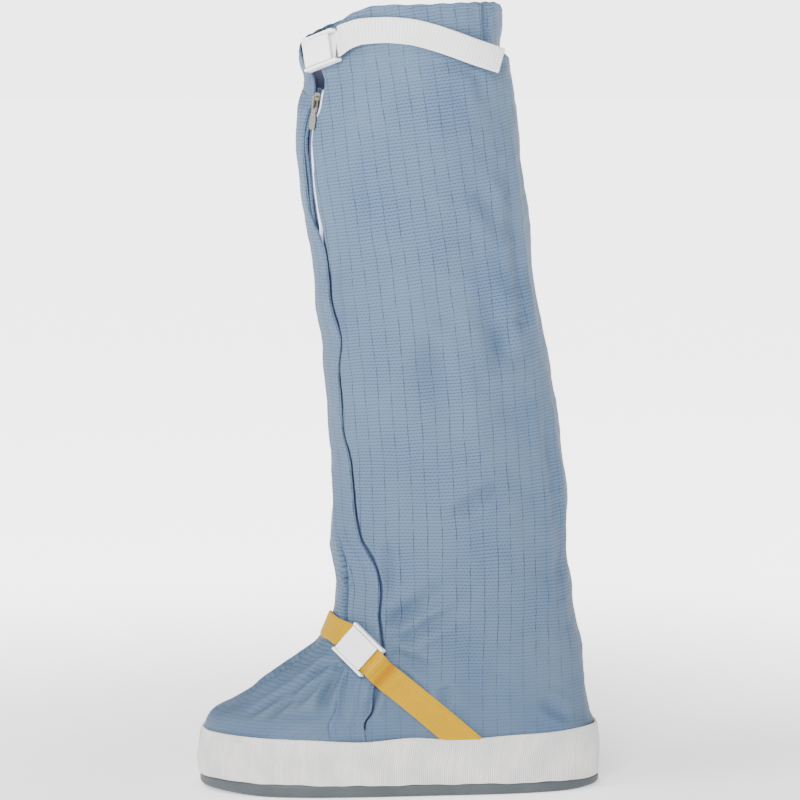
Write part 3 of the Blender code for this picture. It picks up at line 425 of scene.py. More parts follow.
def collar_fall(height, arc):
    """How far the collar droops towards the two corners beside the zip."""
    whole = girth(height)
    from_zip = (arc - zip_arc(height)) % whole
    distance = np.maximum(np.minimum(from_zip, whole - from_zip) - slit(height), 0.0)
    fades = ease((height - (BOOT_HEIGHT - 3 * CASING_HEIGHT)) / (3 * CASING_HEIGHT))
    return COLLAR_DROOP * np.exp(-distance / COLLAR_DROOP_REACH) * fades


def place_share(x):
    return (x + HALF_SOLE) / SOLE_LENGTH


def band_top(x):
    return SOLE_EDGE + BAND_HEIGHT * (1 + smooth(BAND_TOP, "rise", place_share(x)))


def ledge(x):
    return SOLE_EDGE * smooth(LEDGE, "height", place_share(x))


# Creases pressed in, listed in millimetres on the boot: side, width and depth of the trough, height of
# the ridges beside it, share of its length over which its two ends fade, and its course as (x, z)
CREASES = [
    (OUTER, 9.0, 1.5, 0.5, 0.30, 0.35, ((45, 437), (60, 418), (76, 395))),
    (OUTER, 8.0, 1.6, 0.6, 0.25, 0.30, ((71, 455), (80, 389), (90, 297))),
    (OUTER, 11.0, 1.7, 0.5, 0.30, 0.30, ((51, 364), (65, 333), (79, 300))),
    (OUTER, 9.0, 1.1, 0.4, 0.30, 0.30, ((84, 354), (67, 322), (57, 300))),
    (OUTER, 8.0, 1.3, 0.5, 0.30, 0.30, ((101, 284), (110, 209), (117, 120))),
    (OUTER, 6.2, 1.8, 0.8, 0.30, 0.35, ((72, 228), (49, 212), (26, 196))),
    (OUTER, 6.0, 1.2, 0.6, 0.30, 0.35, ((-49, 378), (-45, 350), (-41, 323))),
    (OUTER, 4.6, 1.2, 0.6, 0.25, 0.30, ((-15, 186), (-11, 163), (-13, 138))),
    (OUTER, 7.0, 2.1, 0.8, 0.15, 0.60, ((-13, 122), (14, 141), (50, 166))),
    (OUTER, 6.0, 1.8, 0.9, 0.15, 0.60, ((-6, 108), (20, 124), (54, 142))),
    (OUTER, 5.0, 1.4, 0.7, 0.10, 0.50, ((-10, 103), (8, 96), (28, 82))),
    (OUTER, 6.0, 1.3, 0.5, 0.30, 0.30, ((28, 78), (30, 72), (33, 62))),
    (OUTER, 6.0, 1.3, 0.5, 0.30, 0.30, ((99, 68), (110, 59), (123, 52))),
    (OUTER, 4.0, 1.6, 0.8, 0.15, 0.30, ((-51, 98), (-81, 75), (-117, 54))),
    (OUTER, 4.0, 2.0, 1.0, 0.10, 0.35, ((-50, 96), (-74, 76), (-102, 52))),
    (OUTER, 4.0, 2.0, 1.0, 0.05, 0.35, ((-47, 95), (-64, 78), (-84, 62))),
    (OUTER, 4.5, 2.4, 1.1, 0.05, 0.40, ((-44, 93), (-54, 76), (-63, 54))),
    (OUTER, 4.0, 1.5, 0.8, 0.10, 0.40, ((-36, 88), (-42, 70), (-45, 50))),
    (OUTER, 6.0, 1.2, 0.6, 0.25, 0.30, ((-60, 104), (-88, 83), (-128, 58))),
    (OUTER, 3.2, 3.4, 1.1, 0.25, 0.05, ((-44, 184), (-40, 166), (-38, 150))),
    (OUTER, 3.2, 3.4, 0.9, 0.05, 0.05, ((-38, 156), (-40, 138), (-41, 115))),
    (OUTER, 4.0, 2.6, 1.0, 0.10, 0.30, ((-20, 82), (-22, 70), (-28, 54))),
    (OUTER, 3.6, 1.7, 1.0, 0.05, 0.30, ((57, 563), (58, 545), (61, 522))),
    (OUTER, 7.0, 1.0, 0.5, 0.20, 0.40, ((51, 516), (54, 502), (57, 484))),
    (OUTER, 8.0, 1.0, 0.4, 0.30, 0.40, ((-36, 470), (-30, 430), (-27, 390))),
    (OUTER, 14.0, 1.4, 0.5, 0.30, 0.40, ((8, 330), (24, 290), (34, 240))),
    (OUTER, 12.0, 1.0, 0.4, 0.30, 0.40, ((-6, 250), (18, 236), (52, 240))),
    (INNER, 9.0, 1.6, 0.6, 0.30, 0.35, ((-20, 452), (6, 430), (40, 418))),
    (INNER, 11.0, 1.8, 0.5, 0.30, 0.30, ((78, 400), (66, 350), (40, 318))),
    (INNER, 9.0, 1.4, 0.5, 0.30, 0.30, ((94, 330), (100, 260), (112, 180))),
    (INNER, 8.0, 1.6, 0.7, 0.25, 0.35, ((-34, 262), (-6, 244), (30, 238))),
    (INNER, 7.0, 2.0, 0.9, 0.20, 0.40, ((-34, 150), (-8, 152), (26, 168))),
    (INNER, 6.0, 1.8, 0.8, 0.20, 0.40, ((-22, 122), (6, 132), (36, 150))),
    (INNER, 6.0, 1.3, 0.5, 0.25, 0.30, ((92, 72), (104, 58), (116, 50))),
    (INNER, 4.5, 1.8, 0.9, 0.10, 0.35, ((-50, 98), (-78, 78), (-110, 54))),
    (INNER, 4.5, 2.0, 1.0, 0.05, 0.40, ((-44, 95), (-62, 74), (-80, 50))),
    (INNER, 4.5, 1.8, 0.9, 0.05, 0.40, ((-36, 90), (-42, 70), (-48, 50))),
    (INNER, 7.0, 1.2, 0.5, 0.20, 0.40, ((20, 520), (26, 498), (22, 470))),
]
CREASE_STEPS = 30
CREASE_WIDTH = 0.78
CREASE_DEPTH = 1.75
CREASE_REACH = 4.2
CREASE_START = 0.15
RIDGE_PLACE = 1.9
RIDGE_SPREAD = 0.6
WAVE_GAIN = 1.6
WAVE_WAY = (1.0, 1.0, 0.55)
# Slow waves of the loose cloth: length of a wave and its height in millimetres, and how many cross
WAVES = [(95.0, 0.60, 7), (40.0, 0.34, 9), (18.0, 0.17, 11), (10.0, 0.06, 11)]
MM = 0.001


def course(points, side):
    """A crease's course as points on the face, through its three places."""
    share = np.linspace(0.0, 1.0, CREASE_STEPS)[:, None]
    first, middle, last = (np.array(point, float) * MM for point in points)
    bend = 2 * middle - (first + last) / 2
    flat = (1 - share) ** 2 * first + 2 * share * (1 - share) * bend + share**2 * last
    return np.array([on_upper(z, arc_at(z, x, side)) for x, z in flat])


def relief(points):
    """How far the creases and the slow waves move each point of the face outwards, in metres."""
    flat = points.reshape(-1, 3)
    moved = np.zeros(len(flat))
    chance = np.random.RandomState(11)
    for length, size, count in WAVES:
        for _ in range(count):
            way = chance.normal(size=3) * WAVE_WAY
            way *= 2 * math.pi / (length * MM) / np.linalg.norm(way)
            moved += size * MM / math.sqrt(count) * WAVE_GAIN * np.sin(flat @ way + chance.uniform(0,
                2 * math.pi))
    for side, width, depth, ridge, fade_in, fade_out, points_of in CREASES:
        line = course(points_of, side)
        width = width * CREASE_WIDTH
        reach = CREASE_REACH * width * MM
        low = line.min(0) - reach
        high = line.max(0) + reach
        near = np.nonzero(((flat > low) & (flat < high)).all(1))[0]
        away = np.linalg.norm(flat[near, None] - line[None], axis=-1)
        nearest = away.argmin(1)
        distance = away[np.arange(len(near)), nearest] / (width * MM)
        along = nearest / (CREASE_STEPS - 1)
        taper = ease(along / fade_in + CREASE_START) * ease((1 - along) / fade_out)
        ridges = ridge * np.exp(-((distance - RIDGE_PLACE) ** 2) / RIDGE_SPREAD)
        shape = -depth * np.exp(-(distance**2)) + ridges
        moved[near] += shape * MM * taper * CREASE_DEPTH
    return moved.reshape(points.shape[:-1])


# Course of the cloth's upright threads on the outer side: height and x in metres, up which they run
THREAD_LINE = table("height x", [(0.000, 0.038), (0.150, 0.038), (0.300, 0.030), (0.500, 0.004),
    (BOOT_HEIGHT, -0.004)])
thread_arcs = [arc_at(height, float(smooth(THREAD_LINE, "x", height)), OUTER) for height in LEVELS]
thread_slopes = np.gradient(smooth(THREAD_LINE, "x", LEVELS), LEVELS)


def flat_places(across, along, third=0.0):
    """Places on flat cloth from three values that are spread over each other."""
    return np.stack(np.broadcast_arrays(across, along, third), axis=-1)


def cloth_place(height, arc):
    """Place on the flat cloth in millimetres: across its upright threads, and along them."""
    across = arc - np.interp(height, LEVELS, thread_arcs)
    along = height + across * np.interp(height, LEVELS, thread_slopes)
    return flat_places(across / MM, along / MM)


def grid_faces(rows, columns, closed=False):
    """Quads of a grid whose points are numbered row by row."""
    row, column = np.mgrid[0 : rows - 1, 0 : columns if closed else columns - 1]
    beside = (column + 1) % columns
    quads = [row * columns + column, row * columns + beside, (row + 1) * columns + beside,
        (row + 1) * columns + column]
    return np.stack(quads, axis=-1).reshape(-1, 4).tolist()


def piece(name, points, faces, finish, places=None, painted_shade_depth=None, sharp=None):
    """An object on the boot, with places on the flat cloth and the depth of its folds kept at its points,
    for their painted shade.
    """
    mesh = bpy.data.meshes.new(name)
    mesh.from_pydata(np.asarray(points).reshape(-1, 3).tolist(), [], faces)
    mesh.validate()
    if places is not None:
        kept = mesh.attributes.new("cloth", "FLOAT_VECTOR", "POINT")
        kept.data.foreach_set("vector", np.asarray(places, np.float32).ravel())
    if painted_shade_depth is not None:
        kept = mesh.attributes.new("painted_shade_depth", "FLOAT", "POINT")
        kept.data.foreach_set("value", np.asarray(painted_shade_depth, np.float32).ravel())
    mesh.shade_smooth()
    if sharp:
        mesh.set_sharp_from_angle(angle=math.radians(sharp))
    mesh.materials.append(finish)
    made = bpy.data.objects.new(name, mesh)
    bpy.context.scene.collection.objects.link(made)
    return made


# Polyester cloth with conductive threads: plain woven and matt, its rows standing as fine ribs. The threads
# are drawn about twice as thick as real ones, which would be too fine to show.
GRID_PITCH = 10.0
ROW_PITCH = 2.4
DOT_PITCH = 3.1


def cloth_material(name, lit, deep, thread, contrast):
    """Cloth of two close colours, tinted darker in its folds as painted shade, with dark threads up it and
    dots along its rows.
    """
    made, tree, surface = new_material(name)
    place = add(tree, "ShaderNodeAttribute", {"attribute_name": "cloth"}).outputs["Vector"]
    drift = add(tree, "ShaderNodeTexNoise", inputs={"Vector": place, "Scale": 0.03, "Detail": 1.0})
    moved = add(tree, "ShaderNodeVectorMath", {"operation": "MULTIPLY_ADD"},
        {0: drift.outputs["Color"], 1: (3.0, 3.0, 0.0), 2: place})
    apart = add(tree, "ShaderNodeSeparateXYZ", inputs={"Vector": moved})
    across, along = apart.outputs["X"], apart.outputs["Y"]
    line = add(tree, "ShaderNodeMath", {"operation": "ADD"}, {0: across, 1: GRID_PITCH * 100})
    line = add(tree, "ShaderNodeMath", {"operation": "PINGPONG"}, {0: line, 1: GRID_PITCH / 2})
    row = add(tree, "ShaderNodeMath", {"operation": "PINGPONG"}, {0: along, 1: ROW_PITCH / 2})
    odd = add(tree, "ShaderNodeMath", {"operation": "DIVIDE"}, {0: along, 1: ROW_PITCH})
    odd = add(tree, "ShaderNodeMath", {"operation": "ROUND"}, {0: odd})
    shift = add(tree, "ShaderNodeMath", {"operation": "MULTIPLY_ADD"},
        {0: odd, 1: DOT_PITCH * 0.5, 2: across})
    dot = add(tree, "ShaderNodeMath", {"operation": "PINGPONG"}, {0: shift, 1: DOT_PITCH / 2})
    # Distance in millimetres from a thread, where its mark is full and where it ends, and its strength
    masks = []
    for value, full, none, high in (
        (line, 0.20, 0.52, 1.0),
        (row, 0.16, 0.52, 1.0),
        (dot, 0.75, 1.25, 0.6),
        (row, 0.14, 0.55, 1.0),
    ):
        reach = {"Value": value, "From Min": full, "From Max": none, "To Min": high, "To Max": 0.0}
        masks.append(add(tree, "ShaderNodeMapRange", SOFT_STEP, reach))
    on_line, on_row, on_dot, near_row = masks
    stretched = add(tree, "ShaderNodeVectorMath", PRODUCT, {0: place, 1: (0.5, 0.11, 1.0)})
    streaks = add(tree, "ShaderNodeVectorMath", PRODUCT, {0: place, 1: (1.1, 2.6, 1.0)})
    strength = add(tree, "ShaderNodeTexNoise", inputs={"Vector": stretched, "Scale": 1.0, "Detail": 2.0})
    uneven = add(tree, "ShaderNodeMapRange", inputs={"Value": strength, "From Min": 0.36, "From Max": 0.62,
        "To Min": 0.25, "To Max": 1.0})
    from_row = add(tree, "ShaderNodeMapRange", inputs={"Value": row, "From Max": 1.2, "To Min": 1.0,
        "To Max": 0.55})
    lines = add(tree, "ShaderNodeMath", PRODUCT, {0: on_line, 1: uneven})
    lines = add(tree, "ShaderNodeMath", PRODUCT, {0: lines, 1: from_row})
    dots = add(tree, "ShaderNodeMath", PRODUCT, {0: on_row, 1: on_dot})
    rows = add(tree, "ShaderNodeMath", PRODUCT, {0: near_row, 1: 0.42})
    rows = add(tree, "ShaderNodeMath", {"operation": "ADD"}, {0: dots, 1: rows})
    broad = add(tree, "ShaderNodeTexNoise", inputs={"Vector": place, "Scale": 0.016, "Detail": 3.0})
    worn = add(tree, "ShaderNodeMapRange", inputs={"Value": broad, "From Min": 0.35, "From Max": 0.65,
        "To Min": 0.55})
    rows = add(tree, "ShaderNodeMath", PRODUCT, {0: rows, 1: worn})
    rows = add(tree, "ShaderNodeMath", PRODUCT, {0: rows, 1: 0.72})
    marks = add(tree, "ShaderNodeMath", {"operation": "MAXIMUM"}, {0: lines, 1: rows})
    # Weaker thread marks on the foot, which make the upturned foot lighter: painted light
    on_foot = add(tree, "ShaderNodeMapRange", SOFT_STEP,
        {"Value": along, "From Min": 60.0, "From Max": 125.0, "To Min": 0.48, "To Max": 1.0})
    marks = add(tree, "ShaderNodeMath", PRODUCT, {0: marks, 1: contrast})
    marks = add(tree, "ShaderNodeMath", PRODUCT, {0: marks, 1: on_foot})
    # Painted shade: the cloth is tinted towards the deep colour where its folds are deep and along the
    # flap's seam
    fold = add(tree, "ShaderNodeAttribute", {"attribute_name": "painted_shade_depth"})
    shade = add(tree, "ShaderNodeMapRange", inputs={"Value": fold.outputs["Fac"], "From Min": 1.0,
        "From Max": 4.5, "To Min": 0.0, "To Max": 0.36})
    cloud = add(tree, "ShaderNodeMapRange", inputs={"Value": broad, "From Min": 0.35, "From Max": 0.65})
    colour = add(tree, "ShaderNodeMix", BLEND, {"Factor": cloud, "A": linear(lit[0]), "B": linear(lit[1])})
    for share, tint in ((shade, deep), (marks, thread)):
        colour = add(tree, "ShaderNodeMix", BLEND,
            {"Factor": share, "A": colour.outputs["Result"], "B": linear(tint)})
    yarn = add(tree, "ShaderNodeTexNoise", inputs={"Vector": streaks, "Scale": 1.0, "Detail": 3.0})
    ribs = add(tree, "ShaderNodeMath", {"operation": "SMOOTH_MIN"}, {0: row, 1: 0.8, 2: 0.4})
    height = add(tree, "ShaderNodeMath", {"operation": "MULTIPLY_ADD"}, {0: yarn, 1: 0.55, 2: ribs})
    bump = add(tree, "ShaderNodeBump", inputs={"Strength": 0.30, "Distance": 0.00020, "Height": height})
    gloss = add(tree, "ShaderNodeMapRange", inputs={"Value": yarn, "From Min": 0.3, "From Max": 0.7,
        "To Min": 0.58, "To Max": 0.74})
    shader = add(tree, "ShaderNodeBsdfPrincipled",
        inputs={"Base Color": colour.outputs["Result"], "Roughness": gloss, "IOR": 1.5,
        "Specular IOR Level": 0.22, "Sheen Weight": 0.03, "Sheen Roughness": 0.45, "Normal": bump})
    tree.links.new(shader.outputs[0], surface)
    return made


# The third colour is the painted shade in the cloth's folds
polyester_grid = cloth_material("woven_polyester_grid", ("506377", "4a5f79"), "2a3f5e", "0c1422", 0.80)

SKIN_ROWS = [(UPPER_FOOT, 0.042, 8), (0.042, 0.140, 98), (0.140, 0.500, 170), (0.500, BOOT_HEIGHT, 38)]
SKIN_COLUMNS = 280
LIP_BACK = 0.0018
LIP_RISE = 0.0011
STRIP_START = 0.0028
STRIP_END = 0.0065
SLIT_FOOT = 0.0440
SCALLOP = 0.0003
SCALLOP_PITCH = 0.0135
INNER_FALL = 0.0240
INNER_FALL_REACH = 0.1020
BACK_FALL = 0.0085
BACK_FALL_REACH = 0.0170
OUTER_RISE = 0.0050
OUTER_RISE_PLACE = 0.0400
OUTER_RISE_REACH = 0.0280
CORNER_FOOT = 0.5050
CORNER_FADE = 0.0450
BACK_FOOT = 0.5350
BACK_FADE = 0.0280
SLIT_FADE = 0.0060
LIP_WIDTH = 0.0032
LIP_FADE = 0.0200
UNDER_BAND = 0.0300
UNDER_BAND_FADE = 0.0120
SCALLOP_FADE = 0.0200
SCALLOP_WANDER = 0.0300
# How far in the cloth turns at its two cut edges, and its rolled hem as (rise, distance in)
NEAR_EDGE_TURN = (0.0019, 0.0011, 0.0004)
FAR_EDGE_TURN = (0.0005, 0.0014)
HEM = ((0.0004, 0.0002), (0.0005, 0.0008), (0.0001, 0.0013), (-0.0020, 0.0014), (-0.0120, 0.0013))


def skin_rows():
    rows = [np.linspace(low, high, count, endpoint=False) for low, high, count in SKIN_ROWS]
    return np.append(np.concatenate(rows), BOOT_HEIGHT)


def near_edge(height):
    """The outer side's cut edge: behind the flap's free edge, or the strip's edge where the zip is bare."""
    return groove_arc(height) + LIP_BACK * covered(height) + STRIP_END * (1 - covered(height))


def skin_arcs(height, share):
    """From the zip's outer edge round the back and nose to its inner edge; closed at the slit's foot."""
    opened = ease((height - SLIT_FOOT) / SLIT_FADE)
    start = zip_arc(height) + (near_edge(height) - zip_arc(height)) * opened
    end = girth(height) + zip_arc(height) - slit(height) * opened
    return start + (end - start) * share


def corner_fall(height, arc):
    """How much further the collar's inner corner sinks, while the strap holds up the cloth by its buckle."""
    behind = (arc - zip_arc(height)) % girth(height)
    ahead = girth(height) - behind
    sinks = INNER_FALL * np.exp(-((ahead / INNER_FALL_REACH) ** 2))
    stays = OUTER_RISE * np.exp(-(((behind - OUTER_RISE_PLACE) / OUTER_RISE_REACH) ** 2))
    rounded = BACK_FALL * np.exp(-(((arc - back_arc(height)) / BACK_FALL_REACH) ** 2))
    rounded = rounded * ease((height - BACK_FOOT) / BACK_FADE)
    return (sinks - stays) * ease((height - CORNER_FOOT) / CORNER_FADE) + rounded


def skin_grid(columns, lift):
    """Places, points and fold depth of the skin; lift moves the whole of it along its normal."""
    share = np.linspace(0.0, 1.0, columns)[None, :]
    rows = skin_rows()[:, None]
    first = skin_arcs(rows, share)
    own = rows - collar_fall(rows, first) - corner_fall(rows, first)
    arcs = skin_arcs(own, share)
    points = on_upper(own, arcs)
    moved = relief(points)
    from_edge = (arcs - near_edge(own)) / LIP_WIDTH
    lip = LIP_RISE * np.exp(-(from_edge**2)) * ease((own - SLIT_FOOT) / LIP_FADE)
    hidden = ease((own - UNDER_BAND) / UNDER_BAND_FADE)
    points = points + normal(own, arcs) * ((moved + lip) * hidden + lift)[..., None]
    top = ease((rows - (BOOT_HEIGHT - SCALLOP_FADE)) / SCALLOP_FADE)
    wander = 3 * np.sin(arcs / SCALLOP_WANDER)
    points[..., 2] += top * SCALLOP * np.cos(2 * math.pi * arcs / SCALLOP_PITCH + wander)
    return own, arcs, points, -moved / MM * hidden


own, arcs, points, depth = skin_grid(SKIN_COLUMNS, 0.0)
outward = normal(own, arcs)
edge_in = [points[:, :1] - outward[:, :1] * drop for drop in NEAR_EDGE_TURN]
round_step = (points[:, :1] - points[:, 1:2]) * 0.25
edge_in[1] = edge_in[1] + round_step
edge_in[2] = edge_in[2] + round_step * 0.8
far_in = [points[:, -1:] - outward[:, -1:] * drop for drop in FAR_EDGE_TURN]
wide = np.concatenate([*edge_in, points, *far_in], axis=1)
fill = len(edge_in), len(far_in)
wide_places = np.pad(cloth_place(own, arcs), ((0, 0), fill, (0, 0)), mode="edge")
wide_depth = np.pad(depth, ((0, 0), fill), mode="edge")
wide_out = np.pad(outward, ((0, 0), fill, (0, 0)), mode="edge")
rolled = [wide[-1:] + np.array([0.0, 0.0, rise]) - wide_out[-1:] * inset for rise, inset in HEM]
wide = np.concatenate([wide, *rolled])
wide_places = np.pad(wide_places, ((0, len(rolled)), (0, 0), (0, 0)), mode="edge")
wide_depth = np.pad(wide_depth, ((0, len(rolled)), (0, 0)), mode="edge")
upper = piece("boot_upper", wide, grid_faces(*wide.shape[:2]), polyester_grid, wide_places,
    wide_depth)
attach(upper, "boot")
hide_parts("upper")

# Lining: the reverse of the same cloth, coated pale lilac against dust. It is one with the cloth, and
# shows at the collar and down in the throat.
LINING_DEPTH = 0.0014
LINING_COLUMNS = 150


def grained_material(name, on_cloth, tone, grain, colours, bump, finish, spread=None, gloss=None):
    """A material of two close colours mixed by one noise and raised by another.

    tone and grain are the noises' (scale, detail), over millimetres of cloth or metres of the boot. bump is
    (strength, distance), spread narrows the tone's mix, and gloss reads the roughness from the tone.
    """
    made, tree, surface = new_material(name)
    if on_cloth:
        place = add(tree, "ShaderNodeAttribute", {"attribute_name": "cloth"}).outputs["Vector"]
    else:
        place = add(tree, "ShaderNodeTexCoord").outputs["Object"]
    toned = add(tree, "ShaderNodeTexNoise", inputs={"Vector": place, "Scale": tone[0], "Detail": tone[1]})
    mixed = add(tree, "ShaderNodeMapRange", inputs={"Value": toned, **spread}) if spread else toned
    colour = add(tree, "ShaderNodeMix", BLEND,
        {"Factor": mixed, "A": linear(colours[0]), "B": linear(colours[1])})
    inputs = {"Base Color": colour.outputs["Result"], **finish}
    if gloss:
        inputs["Roughness"] = add(tree, "ShaderNodeMapRange", inputs={"Value": toned, **gloss})
    if bump:
        raised = toned
        if grain != tone:
            raised = add(tree, "ShaderNodeTexNoise",
                inputs={"Vector": place, "Scale": grain[0], "Detail": grain[1]})
        height = {"Strength": bump[0], "Distance": bump[1], "Height": raised}
        inputs["Normal"] = add(tree, "ShaderNodeBump", inputs=height)
    tree.links.new(add(tree, "ShaderNodeBsdfPrincipled", inputs=inputs).outputs[0], surface)
    return made


coating = grained_material("coated_cloth_reverse", True, (0.02, 2.0), (1.4, 3.0), ("666b88", "7c809d"),
    (0.4, 0.00015), {"Roughness": 0.55, "Coat Weight": 0.08})

own, arcs, points, _ = skin_grid(LINING_COLUMNS, -LINING_DEPTH)
points = points[::2][:-1]
lining = piece("shaft_lining", points, [face[::-1] for face in grid_faces(*points.shape[:2])], coating,
    cloth_place(own, arcs)[::2][:-1])
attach(lining, "boot")

# Strip between the bare zip and the cloth: a lilac-white knitted polyester tape, folded over the cloth's
# cut edge and sewn down beside the zip.
edge_tape = grained_material("knitted_edge_tape", True, (1.2, 3.0), (1.2, 3.0), ("c4c6e4", "dcdcf2"),
    (0.4, 0.00015), {"Roughness": 0.7, "Sheen Weight": 0.2})

STRIP_FOOT = 0.3720
STRIP_HEAD = CASING_FOOT - 0.0040
strip_rows = np.linspace(STRIP_FOOT, STRIP_HEAD, 90)[:, None]
# Across the strip: place as a share of its width, and height of its face above the cloth in metres
strip_profile = np.array([(0.0, -0.0010), (0.04, 0.0002), (0.15, 0.0010), (0.5, 0.0014), (0.85, 0.0013),
    (1.0, 0.0006), (1.05, -0.0010)])
fallen = strip_rows - collar_fall(strip_rows, zip_arc(strip_rows))
bare = 1 - covered(fallen)
strip_width = (STRIP_END - STRIP_START) * bare
strip_arcs = zip_arc(fallen) + STRIP_START + parting(fallen) + strip_width * strip_profile[None, :, 0]
strip_points = lifted(fallen, strip_arcs, np.broadcast_to(strip_profile[None, :, 1], strip_arcs.shape))
strip = piece("zip_edge_strip", strip_points, grid_faces(*strip_points.shape[:2]), edge_tape,
    cloth_place(fallen, strip_arcs))
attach(strip, "boot")

# Storm flap: a folded double strip of the same cloth, sewn beside the zip on the inner side and lying
# over it with its free edge towards the outer side, topstitched twice. It is turned back beside the
# slider.
FLAP_WIDTH = 0.0260
FLAP_THICKNESS = 0.0018
FLAP_TOP = CASING_FOOT - 0.0130
FLAP_LIFT = 0.0008
FLAP_TOP_PRESS = 0.0160
FLAP_BAND_PRESS = 0.0060
# Painted shade along the flap's seam: its strength, its width as a share of the flap's, and where it fades
# out at the top
SEAM_SHADE = 5.0
SEAM_WIDTH = 0.05
SEAM_TOP = 0.2250
SEAM_FADE = 0.0300
# Across the flap from its seam to its free edge: place as a share of its width, and height of its top
# face as a share of its thickness
flap_shape = table("place rise", [(0.00, -0.30), (0.02, 0.20), (0.05, 0.80), (0.09, 1.00), (0.35, 1.02),
    (0.72, 1.00), (0.775, 0.90), (0.83, 1.02), (0.90, 1.02), (0.935, 0.88), (0.97, 0.98), (0.99, 0.80),
    (1.00, 0.35)])
flap_across = np.concatenate([np.linspace(0.0, 0.10, 8), np.linspace(0.12, 0.68, 14),
    np.linspace(0.70, 1.0, 22)])
flap_rise = smooth(flap_shape, "rise", flap_across)
under = np.array([(1.002, 0.15), (0.99, 0.02), (0.90, 0.0), (0.6, 0.0)])
flap_across = np.concatenate([flap_across, under[:, 0]])
flap_rise = np.concatenate([flap_rise, under[:, 1]])
flap_low = float(band_top(-0.2 * HALF_SOLE)) - 0.0012
flap_rows = np.linspace(flap_low, FLAP_TOP, 300)[:, None]


def flap_arcs(height, across):
    return flap_edge_arc(height) - FLAP_WIDTH * (1 - across)


def flap_full(height):
    """The flap's thickness as a share of its whole: pressed flat at its top and under the band."""
    top = 0.25 + 0.75 * ease((FLAP_TOP - height) / FLAP_TOP_PRESS)
    return top * (0.12 + 0.88 * ease((height - flap_low - 0.0010) / FLAP_BAND_PRESS))


def flap_ripple(height, arc, across):
    """The cloth's relief as the flap takes it up: most at its seam, least at its free edge."""
    return relief(on_upper(height, arc)) * (0.35 + 0.45 * (1 - across))


fallen = flap_rows - collar_fall(flap_rows, flap_arcs(flap_rows, flap_across[None, :]))
flap_places = flap_arcs(fallen, flap_across[None, :])
ripple = flap_ripple(fallen, flap_places, flap_across[None, :])
flap_height = FLAP_LIFT * (flap_rise[None, :] > -0.2) + FLAP_THICKNESS * flap_rise[None, :]
flap_height = flap_height * flap_full(flap_rows) + ripple
# Painted shade down the flap's sewn edge, below the seam's top, where it folds into a dark pocket
painted_seam_shade = SEAM_SHADE * np.exp(-((flap_across[None, :] / SEAM_WIDTH) ** 2))
painted_seam_shade = painted_seam_shade * ease((SEAM_TOP - flap_rows) / SEAM_FADE)
flap_points = lifted(fallen, flap_places, flap_height)
flap_cloth = flat_places(flap_across[None, :] * FLAP_WIDTH / MM + 3.0, fallen / MM)
flap = piece("storm_flap", flap_points, grid_faces(*flap_points.shape[:2]), polyester_grid,
    flap_cloth, -ripple / MM + painted_seam_shade)
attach(flap, "boot")
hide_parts("zip_flap")

# Sewing thread: spun polyester, two-ply, a little paler than the cloth. It is laid in even lockstitches
# that sink into the cloth at their ends.
sewing_thread, tree, surface = new_material("spun_polyester_thread")
place = add(tree, "ShaderNodeTexCoord")
ply = add(tree, "ShaderNodeTexWave", {"bands_direction": "DIAGONAL"},
    {"Vector": place.outputs["Object"], "Scale": 1200.0})
bump = add(tree, "ShaderNodeBump", inputs={"Strength": 0.5, "Distance": 0.0001,
    "Height": ply.outputs["Fac"]})
colour = add(tree, "ShaderNodeMix", BLEND, {"Factor": ply.outputs["Fac"], "A": linear("4c617d"),
    "B": linear("5f7693")})
shader = add(tree, "ShaderNodeBsdfPrincipled", inputs={"Base Color": colour.outputs["Result"],
    "Roughness": 0.6, "Sheen Weight": 0.2, "Normal": bump})
tree.links.new(shader.outputs[0], surface)
STITCH = 0.0026
STITCH_GAP = 0.0007
THREAD_RADIUS = 0.00024


def stitches(name, paths):
    """Stitches along paths, each a pair of arrays: points, and the outward direction at each."""
    ring = np.linspace(0.0, 2 * math.pi, 7)[:-1]
    shares = np.array([0.0, 0.25, 0.5, 0.75, 1.0])
    sizes = np.array([0.45, 0.95, 1.0, 0.95, 0.45])
    sinks = np.array([-1.0, 0.15, 0.45, 0.15, -1.0])
    all_points, all_faces = [], []
    for line, out in paths:
        steps = np.linalg.norm(np.diff(line, axis=0), axis=1)
        length = np.concatenate([[0.0], np.cumsum(steps)])
        starts = np.arange(0.0, length[-1] - STITCH, STITCH + STITCH_GAP)
        for start in starts:
            at = start + shares * STITCH
            centre = np.stack([np.interp(at, length, line[:, axis]) for axis in range(3)], axis=-1)
            up = np.stack([np.interp(at, length, out[:, axis]) for axis in range(3)], axis=-1)
            along = centre[-1] - centre[0]
            side = np.cross(up, along / np.linalg.norm(along))
            centre = centre + up * (sinks * THREAD_RADIUS)[:, None]
            spread = sizes[:, None, None] * THREAD_RADIUS
            turn = np.cos(ring)[None, :, None] * side[:, None] + np.sin(ring)[None, :, None] * up[:, None]
            base = sum(len(block) for block in all_points)
            all_points.append((centre[:, None] + spread * turn).reshape(-1, 3))
            count = len(ring)
            quads = grid_faces(len(shares), count, closed=True)
            all_faces += [[base + corner for corner in face] for face in quads]
            all_faces.append(list(range(base, base + count))[::-1])
            all_faces.append(list(range(base + (len(shares) - 1) * count, base + len(shares) * count)))
    made = piece(name, np.concatenate(all_points), all_faces, sewing_thread)
    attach(made, "boot")


def on_flap(across):
    """A line up the flap's face at a share of its width, and the outward direction along it."""
    rows = np.linspace(flap_low + 0.002, FLAP_TOP - 0.002, 400)
    high = rows - collar_fall(rows, flap_arcs(rows, across))
    where = flap_arcs(high, across)
    lift = flap_ripple(high, where, across)
    lift = lift + (FLAP_LIFT + FLAP_THICKNESS * float(smooth(flap_shape, "rise", across))) * flap_full(rows)
    return lifted(high, where, lift), normal(high, where)


stitches("flap_topstitch", [on_flap(0.775), on_flap(0.935)])

